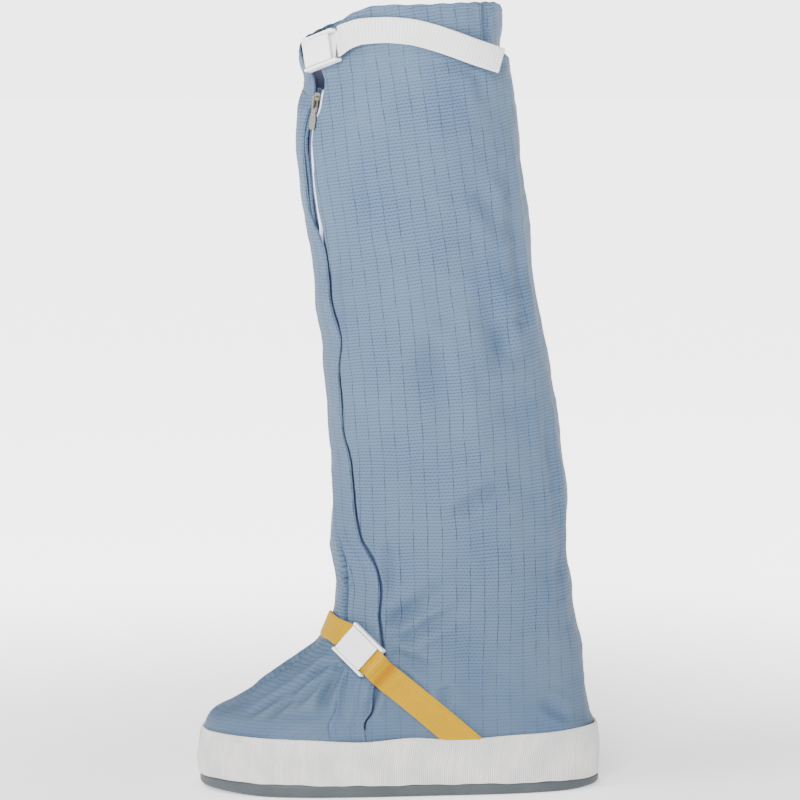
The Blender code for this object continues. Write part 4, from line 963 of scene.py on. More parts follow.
# The bar-tack across the flap's foot: where it starts, how far it drops and runs, and its rows' spacing
BAR_TACK_HEIGHT = 0.0545
BAR_TACK_DROP = 0.0045
BAR_TACK_BACK = 0.0125
BAR_TACK_LENGTH = 0.0090
BAR_TACK_ROW = 0.0006
SEAM_PLACES = 1500
SEAM_LIFT = 0.0001
bar_arc = float(groove_arc(0.052))
bar_share = np.linspace(0.0, 1.0, 12)
bar_heights = BAR_TACK_HEIGHT - BAR_TACK_DROP * bar_share
bar_arcs = bar_arc - BAR_TACK_BACK + BAR_TACK_LENGTH * bar_share
bar_out = normal(bar_heights, bar_arcs)
bar_lift = 0.0002 + 0.0028 * flap_full(bar_heights)
bar_tacks = [(lifted(bar_heights - BAR_TACK_ROW * row, bar_arcs, bar_lift), bar_out) for row in range(3)]
stitches("flap_bar_tack", bar_tacks)


def on_skin(height):
    """A line round the cloth's face at a height, and the outward direction along it."""
    share = np.linspace(0.002, 0.995, SEAM_PLACES)
    rows = np.full(SEAM_PLACES, height)
    first = skin_arcs(rows, share)
    high = rows - collar_fall(rows, first) - corner_fall(rows, first)
    where = skin_arcs(high, share)
    return lifted(high, where, relief(on_upper(high, where)) + SEAM_LIFT), normal(high, where)


stitches("casing_stitch", [on_skin(CASING_FOOT + 0.0022), on_skin(BOOT_HEIGHT - 0.0030)])

# Zip: navy woven tape with a moulded polyester coil on its edge, closed below the slider and parted above
# it. The tape is sewn behind the cloth, and shows in the flap's groove and beside the slider.
TAPE_WIDTH = 0.0110
TAPE_FACE = WALL + 2 * CLEARANCE
COIL_PITCH = 0.0016
COIL_RADIUS = 0.00062
# Along a bead of the coil from the chain's middle: share of its length, of its radius, and its depth
COIL_ARM = np.array([0.0, 0.25, 0.6, 1.0])
COIL_SIZES = np.array([0.55, 0.85, 0.75, 0.6])
COIL_DEPTHS = np.array([-0.0011, -0.0008, -0.0010, -0.0020]) + 0.0002
zip_cloth, tree, surface = new_material("navy_zip_tape")
place = add(tree, "ShaderNodeAttribute", {"attribute_name": "cloth"})
apart = add(tree, "ShaderNodeSeparateXYZ", inputs={"Vector": place.outputs["Vector"]})
course_up = add(tree, "ShaderNodeMath", {"operation": "PINGPONG"}, {0: apart.outputs["Y"], 1: 0.45})
course_across = add(tree, "ShaderNodeMath", {"operation": "PINGPONG"}, {0: apart.outputs["X"], 1: 0.5})
ribs = add(tree, "ShaderNodeMath", {"operation": "ADD"}, {0: course_up, 1: course_across})
fuzz = add(tree, "ShaderNodeTexNoise", inputs={"Vector": place.outputs["Vector"], "Scale": 0.8,
    "Detail": 3.0})
# Partly painted shade: the tape's navy is kept as dark as the shade down in the flap's groove
colour = add(tree, "ShaderNodeMix", BLEND, {"Factor": fuzz, "A": linear("1b2a4c"), "B": linear("3d5076")})
bump = add(tree, "ShaderNodeBump", inputs={"Strength": 0.6, "Distance": 0.0002, "Height": ribs})
shader = add(tree, "ShaderNodeBsdfPrincipled", inputs={"Base Color": colour.outputs["Result"],
    "Roughness": 0.7, "Sheen Weight": 0.2, "Normal": bump})
tree.links.new(shader.outputs[0], surface)

# The coil: moulded polyester, smooth and slightly glossy navy plastic, its beads set in turn on the two
# tapes' edges
coil_plastic = grained_material("moulded_zip_coil", False, (400.0, 2.0), None, ("26355a", "4c5f88"), None,
    {"Roughness": 0.34, "IOR": 1.55})

zip_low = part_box("zip_tape_outer")[0].z
zip_rows = np.linspace(zip_low, CASING_FOOT - 2 * CLEARANCE, 260)
for side, side_name in ((OUTER, "outer"), (INNER, "inner")):
    fallen = (zip_rows - collar_fall(zip_rows, zip_arc(zip_rows)))[:, None]
    tape_profile = np.array([(0.0, 0.0008), (0.0, 0.0), (0.10, 0.0), (0.5, 0.0), (1.0, 0.0), (1.0, 0.0008)])
    tape_arcs = zip_arc(fallen) + side * (parting(fallen) + TAPE_WIDTH * tape_profile[None, :, 0])
    tape_depth = np.broadcast_to(tape_profile[None, :, 1], tape_arcs.shape)
    tape_points = lifted(fallen, tape_arcs, -TAPE_FACE - tape_depth)
    tape_cloth = flat_places(tape_profile[None, :, 0] * TAPE_WIDTH / MM, fallen / MM)
    tape_faces = grid_faces(*tape_points.shape[:2])
    tape = piece("zip_tape_" + side_name + "_woven", tape_points,
        tape_faces if side == OUTER else [face[::-1] for face in tape_faces], zip_cloth,
        tape_cloth, sharp=50)
    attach(tape, "boot")
    coil_points, coil_faces = [], []
    bead_turn = np.linspace(0.0, 2 * math.pi, 7)[:-1]
    between = COIL_PITCH / 2 if side == INNER else 0.0
    rise = np.arange(zip_low + 0.001, CASING_FOOT - 0.002, COIL_PITCH) + between
    high = rise - collar_fall(rise, zip_arc(rise))
    for index, height in enumerate(high):
        middle = zip_arc(height)
        arm = COIL_ARM * CHAIN_WIDTH / 2
        sizes = COIL_SIZES * COIL_RADIUS
        where = middle + side * (parting(height) + arm - 0.0004)
        out = normal(np.full(4, height), where)
        centre = lifted(np.full(4, height), where, COIL_DEPTHS)
        up = np.array([0.0, 0.0, 1.0])
        turn = np.cos(bead_turn)[None, :, None] * up + np.sin(bead_turn)[None, :, None] * out[:, None]
        base = index * 4 * len(bead_turn)
        coil_points.append((centre[:, None] + sizes[:, None, None] * turn).reshape(-1, 3))
        quads = grid_faces(4, len(bead_turn), closed=True)
        coil_faces += [[base + corner for corner in face] for face in quads]
        coil_faces.append(list(range(base, base + len(bead_turn))))
    coil = piece("zip_coil_" + side_name, np.concatenate(coil_points), coil_faces, coil_plastic)
    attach(coil, "boot")
    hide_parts("zip_tape_" + side_name)
    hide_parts("zip_tape_" + side_name)

# Slider and pull tab: zinc die castings, nickel plated and bright. Their colour goes at random between pale
# and dark nickel, as painted dark reflections. The tab hangs on the slider's bridge by its eye and swings on
# it.
plated_zinc = grained_material("nickel_plated_zinc", False, (260.0, 4.0), (900.0, 3.0),
    ("4a483f", "a09d92"), (0.25, 0.00008), {"Metallic": 1.0},
    gloss={"From Min": 0.35, "From Max": 0.65, "To Min": 0.16, "To Max": 0.36})
for node_name in ("zip_slider", "zip_pull"):
    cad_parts[node_name].data.materials.clear()
    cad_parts[node_name].data.materials.append(plated_zinc)

# Outsole: one slab of grey foamed rubber, moulded with a rounded lower edge and cross grooves under ball
# and heel.
SOLE_ROUND = 0.0030
TOE_SPRING = 0.0026
HEEL_SPRING = 0.0016
ARCH_DEPTH = 0.0016
ARCH_FROM = 0.46
ARCH_TO = 0.74
ARCH_FADE = 0.08
ARCH_SIDE = 0.0120
TOE_REACH = 0.17
HEEL_REACH = 0.10
TREAD_DEPTH = 0.0016
TREAD_WIDTH = 0.0050
TREAD_PITCH = 0.0125
BAND_THICKNESS = 0.0018
BAND_PROUD = 0.0008
FLUSH = CLEARANCE + BAND_THICKNESS - BAND_PROUD
foam_rubber = grained_material("moulded_foam_rubber", False, (28.0, 5.0), (1500.0, 3.0),
    ("363d42", "3f464b"), (0.3, 0.0001), {"Roughness": 0.55, "IOR": 1.52},
    spread={"From Min": 0.35, "From Max": 0.65})

SOLE_PLACES = 640
foot_x, foot_y, foot_length = OUTLINES[0]
foot_even = np.arange(SOLE_PLACES) / SOLE_PLACES * foot_length[-1]
foot_line = np.stack([np.interp(foot_even, foot_length, foot_x), np.interp(foot_even, foot_length, foot_y)],
    axis=-1)
foot_way = np.roll(foot_line, -1, axis=0) - np.roll(foot_line, 1, axis=0)
foot_out = np.stack([foot_way[:, 1], -foot_way[:, 0]], axis=-1)
foot_out /= np.linalg.norm(foot_out, axis=1, keepdims=True)


def bottom_height(x):
    """The tread's height above the floor: raised at the toe and at the heel's end."""
    share = place_share(x)
    toe = TOE_SPRING * ease((TOE_REACH - share) / TOE_REACH)
    return toe + HEEL_SPRING * ease((share - 0.90) / HEEL_REACH)


def sole_ring(out, height):
    line = foot_line + foot_out * out
    return np.concatenate([line, np.asarray(height, float).reshape(-1, 1)], axis=1)


side_foot = bottom_height(foot_line[:, 0])
side_top = ledge(foot_line[:, 0])
rings = [sole_ring(-3 * CLEARANCE, np.full(SOLE_PLACES, SOLE_THICKNESS)),
    sole_ring(-3 * CLEARANCE, side_top)]
rings.append(sole_ring(FLUSH - 0.0004, side_top))
rings.append(sole_ring(FLUSH, side_top - 0.0004))
for share in (0.4, 0.75, 1.0):
    rings.append(sole_ring(FLUSH, side_top - 0.0004 + (side_foot + SOLE_ROUND - side_top + 0.0004) * share))
for turn in np.linspace(0.0, math.pi / 2, 9)[1:]:
    rings.append(sole_ring(FLUSH - SOLE_ROUND * (1 - math.cos(turn)),
        side_foot + SOLE_ROUND * (1 - math.sin(turn))))
sole_side = np.array(rings)
sole_points = sole_side.reshape(-1, 3)
sole_faces = [face[::-1] for face in grid_faces(len(rings), SOLE_PLACES, closed=True)]
ACROSS = 36
inner_half = SOLE_PLACES // 2
bottom = sole_side[-1]
grooves = []
for start, count in ((-0.62, 6), (0.58, 4)):
    grooves += [start * HALF_SOLE + TREAD_PITCH * index for index in range(count)]
sheet = []
for station in range(1, inner_half):
    outer_point = bottom[station]
    inner_point = bottom[-station]
    share = np.linspace(0.0, 1.0, ACROSS + 1)[1:-1, None]
    line = outer_point + (inner_point - outer_point) * share
    x = line[:, 0]
    to_edge = np.minimum(share[:, 0], 1 - share[:, 0]) * np.linalg.norm(inner_point - outer_point)
    place_on = place_share(x)
    arch = ease((place_on - ARCH_FROM) / ARCH_FADE) * ease((ARCH_TO - place_on) / ARCH_FADE)
    arch = arch * ease(to_edge / ARCH_SIDE)
    cut = max(float(ease((TREAD_WIDTH / 2 + 0.0004 - abs(x[0] - groove)) / 0.0008)) for groove in grooves)
    cut = cut * ease((to_edge - 3.5 * SOLE_ROUND) / 0.0010)
    line[:, 2] = bottom_height(x) + ARCH_DEPTH * arch + TREAD_DEPTH * cut
    sheet.append(line)
sheet = np.array(sheet)
base = len(sole_points)
last_ring = (len(rings) - 1) * SOLE_PLACES
sole_points = np.concatenate([sole_points, sheet.reshape(-1, 3)])
across_count = ACROSS - 1


def bottom_index(station, order):
    if order == 0:
        return last_ring + station
    if order == ACROSS:
        return last_ring + SOLE_PLACES - station
    return base + (station - 1) * across_count + order - 1


for station in range(1, inner_half - 1):
    for order in range(ACROSS):
        corners = [(station, order), (station, order + 1), (station + 1, order + 1), (station + 1, order)]
        sole_faces.append([bottom_index(*corner) for corner in corners])
for tip, beside in ((0, 1), (inner_half, inner_half - 1)):
    fan = [last_ring + tip, *(bottom_index(beside, order) for order in range(ACROSS + 1))]
    sole_faces.append(fan if tip == 0 else fan[::-1])
sole_faces.append(list(range(SOLE_PLACES)))
sole = piece("moulded_outsole", sole_points, sole_faces, foam_rubber, sharp=50)
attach(sole, "boot")
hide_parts("outsole")

# Insole: a plain board of pressed felt, laid loose on the sole. Only its shape shows, down inside the
# boot.
felt = grained_material("pressed_felt_board", False, (700.0, 5.0), (700.0, 5.0), ("9fa3a8", "c2c5c9"),
    (0.6, 0.0003), {"Roughness": 0.9, "Sheen Weight": 0.3})
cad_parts["insole"].data.materials.clear()
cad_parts["insole"].data.materials.append(felt)

# Foot band: close-woven cotton-look tape, warm white, lasted round the foot over the sole's edge; its
# upper edge waves a little, and it is drawn in puckers round the toe.
woven_tape, tree, surface = new_material("close_woven_band")
place = add(tree, "ShaderNodeAttribute", {"attribute_name": "cloth"}).outputs["Vector"]
apart = add(tree, "ShaderNodeSeparateXYZ", inputs={"Vector": place})
rib = add(tree, "ShaderNodeMath", {"operation": "PINGPONG"}, {0: apart.outputs["X"], 1: 0.75})
diagonal = add(tree, "ShaderNodeMath", {"operation": "ADD"}, {0: apart.outputs["X"], 1: apart.outputs["Y"]})
diagonal = add(tree, "ShaderNodeMath", {"operation": "PINGPONG"}, {0: diagonal, 1: 0.9})
stretched = add(tree, "ShaderNodeVectorMath", PRODUCT, {0: place, 1: (0.55, 0.05, 1.0)})
streak = add(tree, "ShaderNodeTexNoise", inputs={"Vector": stretched, "Scale": 1.0, "Detail": 3.0})
streak = add(tree, "ShaderNodeMapRange", inputs={"Value": streak, "From Min": 0.35, "From Max": 0.65})
tone = add(tree, "ShaderNodeMix", BLEND, {"Factor": streak, "A": linear("d6d3cf"), "B": linear("e2e0dd")})
cloud = add(tree, "ShaderNodeTexNoise", inputs={"Vector": place, "Scale": 0.045, "Detail": 3.0})
cloud = add(tree, "ShaderNodeMapRange",
    inputs={"Value": cloud, "From Min": 0.42, "From Max": 0.66, "To Min": 0.0, "To Max": 0.75})
clouded = add(tree, "ShaderNodeMix", BLEND,
    {"Factor": cloud, "A": tone.outputs["Result"], "B": linear("c6c6c6")})
toe_end = add(tree, "ShaderNodeMapRange", SOFT_STEP,
    {"Value": apart.outputs["Z"], "From Min": 0.30, "From Max": 0.42, "To Min": 1.0, "To Max": 0.0})
grain = add(tree, "ShaderNodeMix", {"data_type": "FLOAT"}, {"Factor": toe_end, "A": rib, "B": diagonal})
# Painted shade in the weave's grooves, between its ribs and along its diagonal cords at the toe
valley = add(tree, "ShaderNodeMapRange",
    inputs={"Value": grain.outputs["Result"], "From Max": 0.45, "To Min": 0.60, "To Max": 0.0})
groove_shade_tone = add(tree, "ShaderNodeMix", {"data_type": "RGBA", "blend_type": "MULTIPLY"},
    {"Factor": valley, "A": clouded.outputs["Result"], "B": linear("8e8c8a")})
bump = add(tree, "ShaderNodeBump", inputs={"Strength": 0.7, "Distance": 0.0003,
    "Height": grain.outputs["Result"]})
shader = add(tree, "ShaderNodeBsdfPrincipled", inputs={"Base Color": groove_shade_tone.outputs["Result"],
    "Roughness": 0.82, "Sheen Weight": 0.25, "Normal": bump})
tree.links.new(shader.outputs[0], surface)

BAND_COLUMNS = 900
# Around the band's section, from its inner foot over the outer face to its inner top: height as a share
# of the band's, and distance from the upper as a share of its thickness
band_profile = [(0.06, 0.0), (0.0, 0.15), (-0.004, 0.6), (0.004, 0.93), (0.02, 1.0), (0.08, 1.02)]
band_profile += [(share, 1.02) for share in np.linspace(0.14, 0.90, 16)]
band_profile += [(0.95, 1.03), (0.985, 1.02), (0.999, 0.9), (1.005, 0.6), (1.0, 0.2), (0.94, 0.0)]
band_up, band_away = np.array(band_profile).T[..., None]
band_outer = band_away > 0.5
band_share = np.arange(BAND_COLUMNS) / BAND_COLUMNS
band_x = on_upper(np.full(BAND_COLUMNS, UPPER_FOOT), band_share * girth(UPPER_FOOT))[:, 0]
band_foot = ledge(band_x) + CLEARANCE * 0.5
band_foot = band_foot + 0.00025 * np.sin(band_x / 0.0072) + 0.00015 * np.sin(band_x / 0.0031)
band_head = band_top(band_x) + 0.0003 * np.sin(band_x / 0.011 + 1.0)
band_heights = band_foot + (band_head - band_foot) * band_up
band_arcs = band_share[None, :] * girth(band_heights)
toe_near = ease((0.16 - place_share(band_x)) / 0.16)
swell = np.sin(math.pi * np.clip(band_up, 0, 1)) * (0.0003 + 0.0011 * toe_near[None, :])
pucker = 0.00035 * np.sin(band_arcs / 0.0034 + 2.2 * np.sin(band_arcs / 0.021)) * toe_near * band_up
waver = 0.00025 * np.sin(band_arcs / 0.019 + 5 * band_up) * band_outer
band_out = CLEARANCE + BAND_THICKNESS * band_away + (swell + pucker) * band_outer + waver
band_points = lifted(band_heights, band_arcs, band_out)
band_cloth = flat_places(band_arcs / MM, (band_heights - band_foot) / MM, place_share(band_x))
band = piece("woven_foot_band", band_points, grid_faces(*band_points.shape[:2], closed=True), woven_tape,
    band_cloth)
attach(band, "boot")
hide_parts("sole_band")

# Ankle straps: 20 mm orange-yellow polypropylene webbing. One end is sewn under the band on the outer
# side and runs up to the buckle, the other crosses the instep from the inner side.
ANKLE_WEBBING = 0.0200
WEBBING_THICKNESS = 0.0014
FLAP_OVER = FLAP_THICKNESS + 3 * CLEARANCE
ANKLE_SEAT = FLAP_OVER + CLEARANCE
BUCKLE_SIDE_PLAY = 0.0006
BUCKLE_WALL = 0.0022
BUCKLE_BASE = 0.0014
BUCKLE_LENGTH = 0.0300
BUCKLE_HEIGHT = 0.0072
ANKLE_BUCKLE_SLOPE = math.radians(-39)
ANKLE_EDGES = {"upper": ((-0.135, 1.000), (0.390, 0.3867)), "lower": ((-0.216, 0.844), (0.180, 0.3867))}
ANKLE_BUCKLE = (-0.200, 0.985)
ANKLE_FRONT = (1.205, 1.035)
STRAP_ACROSS = 4
RIB_PITCH = 0.0013
RIB_DEPTH = 0.00008
# Where the outer strap comes down off the flap, as shares of its run
OFF_FLAP = 0.22
OFF_FLAP_FADE = 0.14
# The crease where the webbing bends over the channel's end, painted darker there as shade: its place, slant
# per millimetre, and reach
OUTER_BEND = 0.0190
BEND_SLANT = 0.00012
BEND_REACH = 0.0042
# The webbing's edge: the share of its thickness lost there, and share of the width over which it goes
EDGE_THINNER = 0.38
EDGE_WIDTH = 0.07


def clear_of_upper(point, gap):
    """The point, moved out sideways where it lies closer to the upper than the gap."""
    level = min(max(point[2] / LEVEL_STEP, 0), len(LEVELS) - 1.001)
    (low_x, low_y, _), (high_x, high_y, _) = OUTLINES[int(level) : int(level) + 2]
    x = low_x + (high_x - low_x) * (level - int(level))
    y = low_y + (high_y - low_y) * (level - int(level))
    nearest = int(np.argmin((x - point[0]) ** 2 + (y - point[1]) ** 2))
    before = (nearest - 1) % PLACES
    after = (nearest + 1) % PLACES
    out = np.array([y[after] - y[before], x[before] - x[after], 0.0])
    out /= np.linalg.norm(out)
    distance = (point - np.array([x[nearest], y[nearest], point[2]])) @ out
    return point + out * max(gap - distance, 0.0)


def frame_at(height, arc, slope):
    """Axes of a buckle lying on the upper: along the strap, across it and outwards, in that order."""
    out = normal(height, arc)
    level = on_upper(height, arc + BUCKLE_BASE) - on_upper(height, arc - BUCKLE_BASE)
    level = level - out * (level @ out)
    level /= np.linalg.norm(level)
    up = np.cross(out, level)
    if up[2] < 0:
        up = -up
    along = level * math.cos(slope) + up * math.sin(slope)
    return along, np.cross(out, along), out


def seated(height, arc, slope, half_across, gap):
    """Origin and axes of a buckle whose flat base just clears the upper by a gap."""
    along, across, out = frame_at(height, arc, slope)
    start = on_upper(height, arc)
    rise = 0.0
    for ahead in (-1, -0.5, 0, 0.5, 1):
        for aside in (-1, -0.5, 0, 0.5, 1):
            spot = start + along * BUCKLE_LENGTH / 2 * ahead + across * half_across * aside
            moved = clear_of_upper(spot, gap) - spot
            size = np.linalg.norm(moved)
            lean = (moved / size) @ out if size > 0 else 1.0
            rise = max(rise, size * max(lean, 0.3))
    return start + out * rise, (along, across, out)


def side_place(place, side):
    """A place given as shares of half the sole and of the instep's height, as (height, arc)."""
    height = INSTEP_HEIGHT * place[1]
    return height, arc_at(height, HALF_SOLE * place[0], side)


def ribbon_line(upper_edge, lower_edge, gap):
    """Points across a strap between two places on the upper, each (height, arc), at a distance from it."""
    start = lifted(upper_edge[0], upper_edge[1], gap)
    end = lifted(lower_edge[0], lower_edge[1], gap)
    shares = np.arange(STRAP_ACROSS) / (STRAP_ACROSS - 1)
    return [clear_of_upper(start + (end - start) * share, gap) for share in shares]


def strap_down(side, steps, lift_at):
    """Lines of an ankle strap's straight run on one side, from the buckle's level down to the band."""
    lines = []
    for index in range(steps + 1):
        share = index / steps
        ends = []
        for edge in ("upper", "lower"):
            first, last = (np.array(place) for place in ANKLE_EDGES[edge])
            spot = first + (last - first) * share
            if index == steps:
                spot[1] = (float(band_top(HALF_SOLE * spot[0])) - 0.0008) / INSTEP_HEIGHT
            ends.append(side_place(spot, side))
        lines.append(ribbon_line(*ends, lift_at(share)))
    return lines


def in_buckle(origin, axes, ahead, webbing):
    """A line across the webbing where it runs through a buckle."""
    middle = origin + axes[0] * ahead + axes[2] * (BUCKLE_BASE + CLEARANCE)
    return [middle + axes[1] * webbing * (0.5 - index / (STRAP_ACROSS - 1))
        for index in range(STRAP_ACROSS)]


def resampled(lines, step):
    """A strap's lines joined by a smooth curve and read evenly along it."""
    lines = np.array(lines)
    length = np.concatenate([[0.0], np.cumsum(np.linalg.norm(np.diff(lines.mean(1), axis=0), axis=1))])
    at = np.linspace(0.0, length[-1], int(length[-1] / step) + 1)
    made = np.empty((len(at), lines.shape[1], 3))
    weights = np.exp(-np.linspace(-2.2, 2.2, 11) ** 2)
    for column in range(lines.shape[1]):
        for axis in range(3):
            rows = {"at": length, "value": lines[:, column, axis]}
            read = smooth(rows, "value", at)
            rest = read - np.linspace(read[0], read[-1], len(at))
            eased = np.convolve(np.pad(rest, 5, mode="edge"), weights / weights.sum(), mode="valid")
            fixed = ease(np.minimum(np.arange(len(at)), np.arange(len(at))[::-1]) / 8)
            made[:, column, axis] = read + (eased - rest) * fixed
    return made, at


def webbing(name, lines, finish, slot, nodes, rib_pitch, rib_depth, across_count=15, step=0.0006,
        bend=-1.0):
    """A strap with rounded edges and raised cross ribs, from the lines of its inner face."""
    coarse, at = resampled(lines, step)
    shares = np.linspace(0.0, 1.0, across_count)
    old = np.linspace(0.0, 1.0, coarse.shape[1])
    inner = np.empty((len(at), across_count, 3))
    for axis in range(3):
        for row in range(len(at)):
            inner[row, :, axis] = np.interp(shares, old, coarse[row, :, axis])
    ahead = np.gradient(inner, axis=0)
    aside = np.gradient(inner, axis=1)
    out = np.cross(ahead, aside)
    out /= np.linalg.norm(out, axis=-1, keepdims=True)
    if (out.mean((0, 1)) @ (inner.mean((0, 1)) - np.array([0.03, 0.0, inner[..., 2].mean()]))) < 0:
        out = -out
    ribs = 0.5 + 0.5 * np.cos(2 * math.pi * at / rib_pitch)
    edge = np.minimum(shares, 1 - shares)
    crown = ease(edge / EDGE_WIDTH)
    relief_of = -rib_depth * ribs[:, None] * (0.35 + 0.65 * ease(edge / 0.12))[None, :]
    top = inner + out * (WEBBING_THICKNESS * (0.62 + EDGE_THINNER * crown)[None, :] + relief_of)[..., None]
    low = inner + out * (WEBBING_THICKNESS * EDGE_THINNER * (1 - crown))[None, :, None]
    ring = np.concatenate([top, low[:, ::-1]], axis=1)
    columns = ring.shape[1]
    across_mm = np.concatenate([shares, shares[::-1]]) * 20.0
    # Where the webbing bends, kept as the third place for its painted shade
    bend_shade = np.exp(-(((at[:, None] - bend - across_mm[None, :] * BEND_SLANT) / BEND_REACH) ** 2))
    places = flat_places(across_mm[None, :], at[:, None] / MM, bend_shade)
    faces = grid_faces(len(at), columns, closed=True)
    faces.append(list(range(columns))[::-1])
    faces.append(list(range((len(at) - 1) * columns, len(at) * columns)))
    made = piece(name, ring, faces, finish, places, sharp=60)
    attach(made, "boot")
    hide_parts(*nodes)


def webbing_material(name, colours, shade, rib, fine, roughness, bend_shade):
    """Woven webbing: cross ribs, fine warp ends across them, painted shade in the grooves between them, and
    painted shade where it bends.
    """
    made, tree, surface = new_material(name)
    place = add(tree, "ShaderNodeAttribute", {"attribute_name": "cloth"})
    apart = add(tree, "ShaderNodeSeparateXYZ", inputs={"Vector": place.outputs["Vector"]})
    ribs = add(tree, "ShaderNodeMath", {"operation": "PINGPONG"}, {0: apart.outputs["Y"], 1: rib / 2})
    ends = add(tree, "ShaderNodeMath", {"operation": "PINGPONG"}, {0: apart.outputs["X"], 1: fine / 2})
    fuzz = add(tree, "ShaderNodeTexNoise", inputs={"Vector": place.outputs["Vector"], "Scale": 0.9,
        "Detail": 4.0})
    broad = add(tree, "ShaderNodeTexNoise", inputs={"Vector": place.outputs["Vector"], "Scale": 0.09,
        "Detail": 2.0})
    base = add(tree, "ShaderNodeMix", BLEND, {"Factor": broad, "A": linear(colours[0]),
        "B": linear(colours[1])})
    # Painted shade across the strap where it bends down from the buckle
    bend = add(tree, "ShaderNodeMath", PRODUCT, {0: apart.outputs["Z"], 1: 0.7})
    base = add(tree, "ShaderNodeMix", BLEND, {"Factor": bend, "A": base.outputs["Result"],
        "B": linear(bend_shade)})
    # Painted shade in the grooves between the cross ribs and between the warp ends
    valley = add(tree, "ShaderNodeMapRange", SOFT_STEP,
        {"Value": ribs, "From Min": 0.0, "From Max": rib * 0.22, "To Min": 0.42, "To Max": 0.0})
    between = add(tree, "ShaderNodeMapRange", SOFT_STEP,
        {"Value": ends, "From Min": 0.0, "From Max": fine * 0.25, "To Min": 0.28, "To Max": 0.0})
    dark = add(tree, "ShaderNodeMath", {"operation": "MAXIMUM"}, {0: valley, 1: between})
    colour = add(tree, "ShaderNodeMix", BLEND, {"Factor": dark, "A": base.outputs["Result"],
        "B": linear(shade)})
    height = add(tree, "ShaderNodeMath", {"operation": "MULTIPLY_ADD"}, {0: fuzz, 1: 0.4, 2: ends})
    bump = add(tree, "ShaderNodeBump", inputs={"Strength": 0.6, "Distance": 0.00025, "Height": height})
    shader = add(tree, "ShaderNodeBsdfPrincipled",
        inputs={"Base Color": colour.outputs["Result"], "Roughness": roughness, "Specular IOR Level": 0.08,
        "Sheen Weight": 0.02, "Sheen Roughness": 0.4, "Normal": bump})
    tree.links.new(shader.outputs[0], surface)
    return made


yellow_webbing = webbing_material("woven_yellow_polypropylene", ("b08800", "ba9000"), "6c4400", 1.9, 1.9,
    0.6, "8e5600")

buckle_height = INSTEP_HEIGHT * ANKLE_BUCKLE[1]
buckle_arc = arc_at(buckle_height, HALF_SOLE * ANKLE_BUCKLE[0], OUTER)
half_across = ANKLE_WEBBING / 2 + BUCKLE_SIDE_PLAY + BUCKLE_WALL
ankle_origin, ankle_axes = seated(buckle_height, buckle_arc, ANKLE_BUCKLE_SLOPE, half_across, ANKLE_SEAT)
half_buckle = BUCKLE_LENGTH / 2
WEBBING_RISE = 0.0013


def outer_lift(share):
    """How far the outer strap stands off the upper: over the flap at first, close to the cloth below."""
    return 2 * CLEARANCE + ANKLE_SEAT * (1 - float(ease((share - OFF_FLAP) / OFF_FLAP_FADE)))


def beyond_buckle(lines, way):
    """The lines of a strap that lie clear of the buckle's end on one side."""
    clear = half_buckle * 1.04 + 0.004
    return [line for line in lines if (np.mean(line, axis=0) - ankle_origin) @ ankle_axes[0] * way > clear]


outer_lines = []
for part in (0.55, 0.70, 0.85, 1.00, 1.12):
    over_sill = ankle_origin + ankle_axes[2] * WEBBING_RISE * part
    outer_lines.append(in_buckle(over_sill, ankle_axes, half_buckle * part, ANKLE_WEBBING))
outer_lines += beyond_buckle(strap_down(OUTER, 16, outer_lift), 1)
webbing("ankle_webbing_outer", outer_lines, yellow_webbing, "yellow_webbing", ["ankle_strap_outer"],
    RIB_PITCH, RIB_DEPTH, bend=OUTER_BEND)

high, low = (INSTEP_HEIGHT * share for share in ANKLE_FRONT)
inner_edges = [side_place(ANKLE_EDGES[edge][0], INNER) for edge in ("upper", "lower")]
knots = []
for part, over_nose, edge in ((0.5, high, inner_edges[0]), (-0.5, low, inner_edges[1])):
    spot = ankle_origin - ankle_axes[0] * half_buckle + ankle_axes[1] * ANKLE_WEBBING * part
    x, y, length = OUTLINES[int(round(spot[2] / LEVEL_STEP))]
    nearest = int(np.argmin((x - spot[0]) ** 2 + (y - spot[1]) ** 2))
    rows = [(-1.0, spot[2], float(length[nearest])), (0.0, over_nose, 0.0), (1.0, *edge)]
    knots.append(table("place height arc", rows))
inner_lines = []
for part in (0.45, 1.04):
    inner_lines.append(in_buckle(ankle_origin, ankle_axes, -half_buckle * part, ANKLE_WEBBING))
for place_on in np.linspace(-1.0, 1.0, 15)[3:-1]:
    ends = [tuple(float(smooth(knot, column, place_on)) for column in ("height", "arc")) for knot in knots]
    lift = 2 * CLEARANCE + ANKLE_SEAT * (1 - float(ease((place_on + 1.0) / 0.8)))
    inner_lines += beyond_buckle([ribbon_line(*ends, lift)], -1)
inner_lines += strap_down(INNER, 14, lambda share: 2 * CLEARANCE)
webbing("ankle_webbing_inner", inner_lines, yellow_webbing, "yellow_webbing", ["ankle_strap_inner"],
    RIB_PITCH, RIB_DEPTH)

# Cam buckles: white polyacetal, injection moulded, smooth with a soft gloss. A channel with two side
# walls holds the webbing, and the lever is pressed down flat between them.
LEVER_THICKNESS = 0.0026
LEVER_LENGTH = 0.0252
LEVER_SETBACK = 0.0015
polyacetal = grained_material("moulded_white_polyacetal", False, (60.0, 3.0), (1800.0, 2.0),
    ("e6e6e9", "f0f0f3"), (0.15, 0.00005), {"IOR": 1.48, "Subsurface Weight": 0.06,
    "Subsurface Radius": (0.002, 0.002, 0.002), "Coat Weight": 0.15, "Coat Roughness": 0.12},
    gloss={"From Min": 0.3, "From Max": 0.7, "To Min": 0.26, "To Max": 0.38})


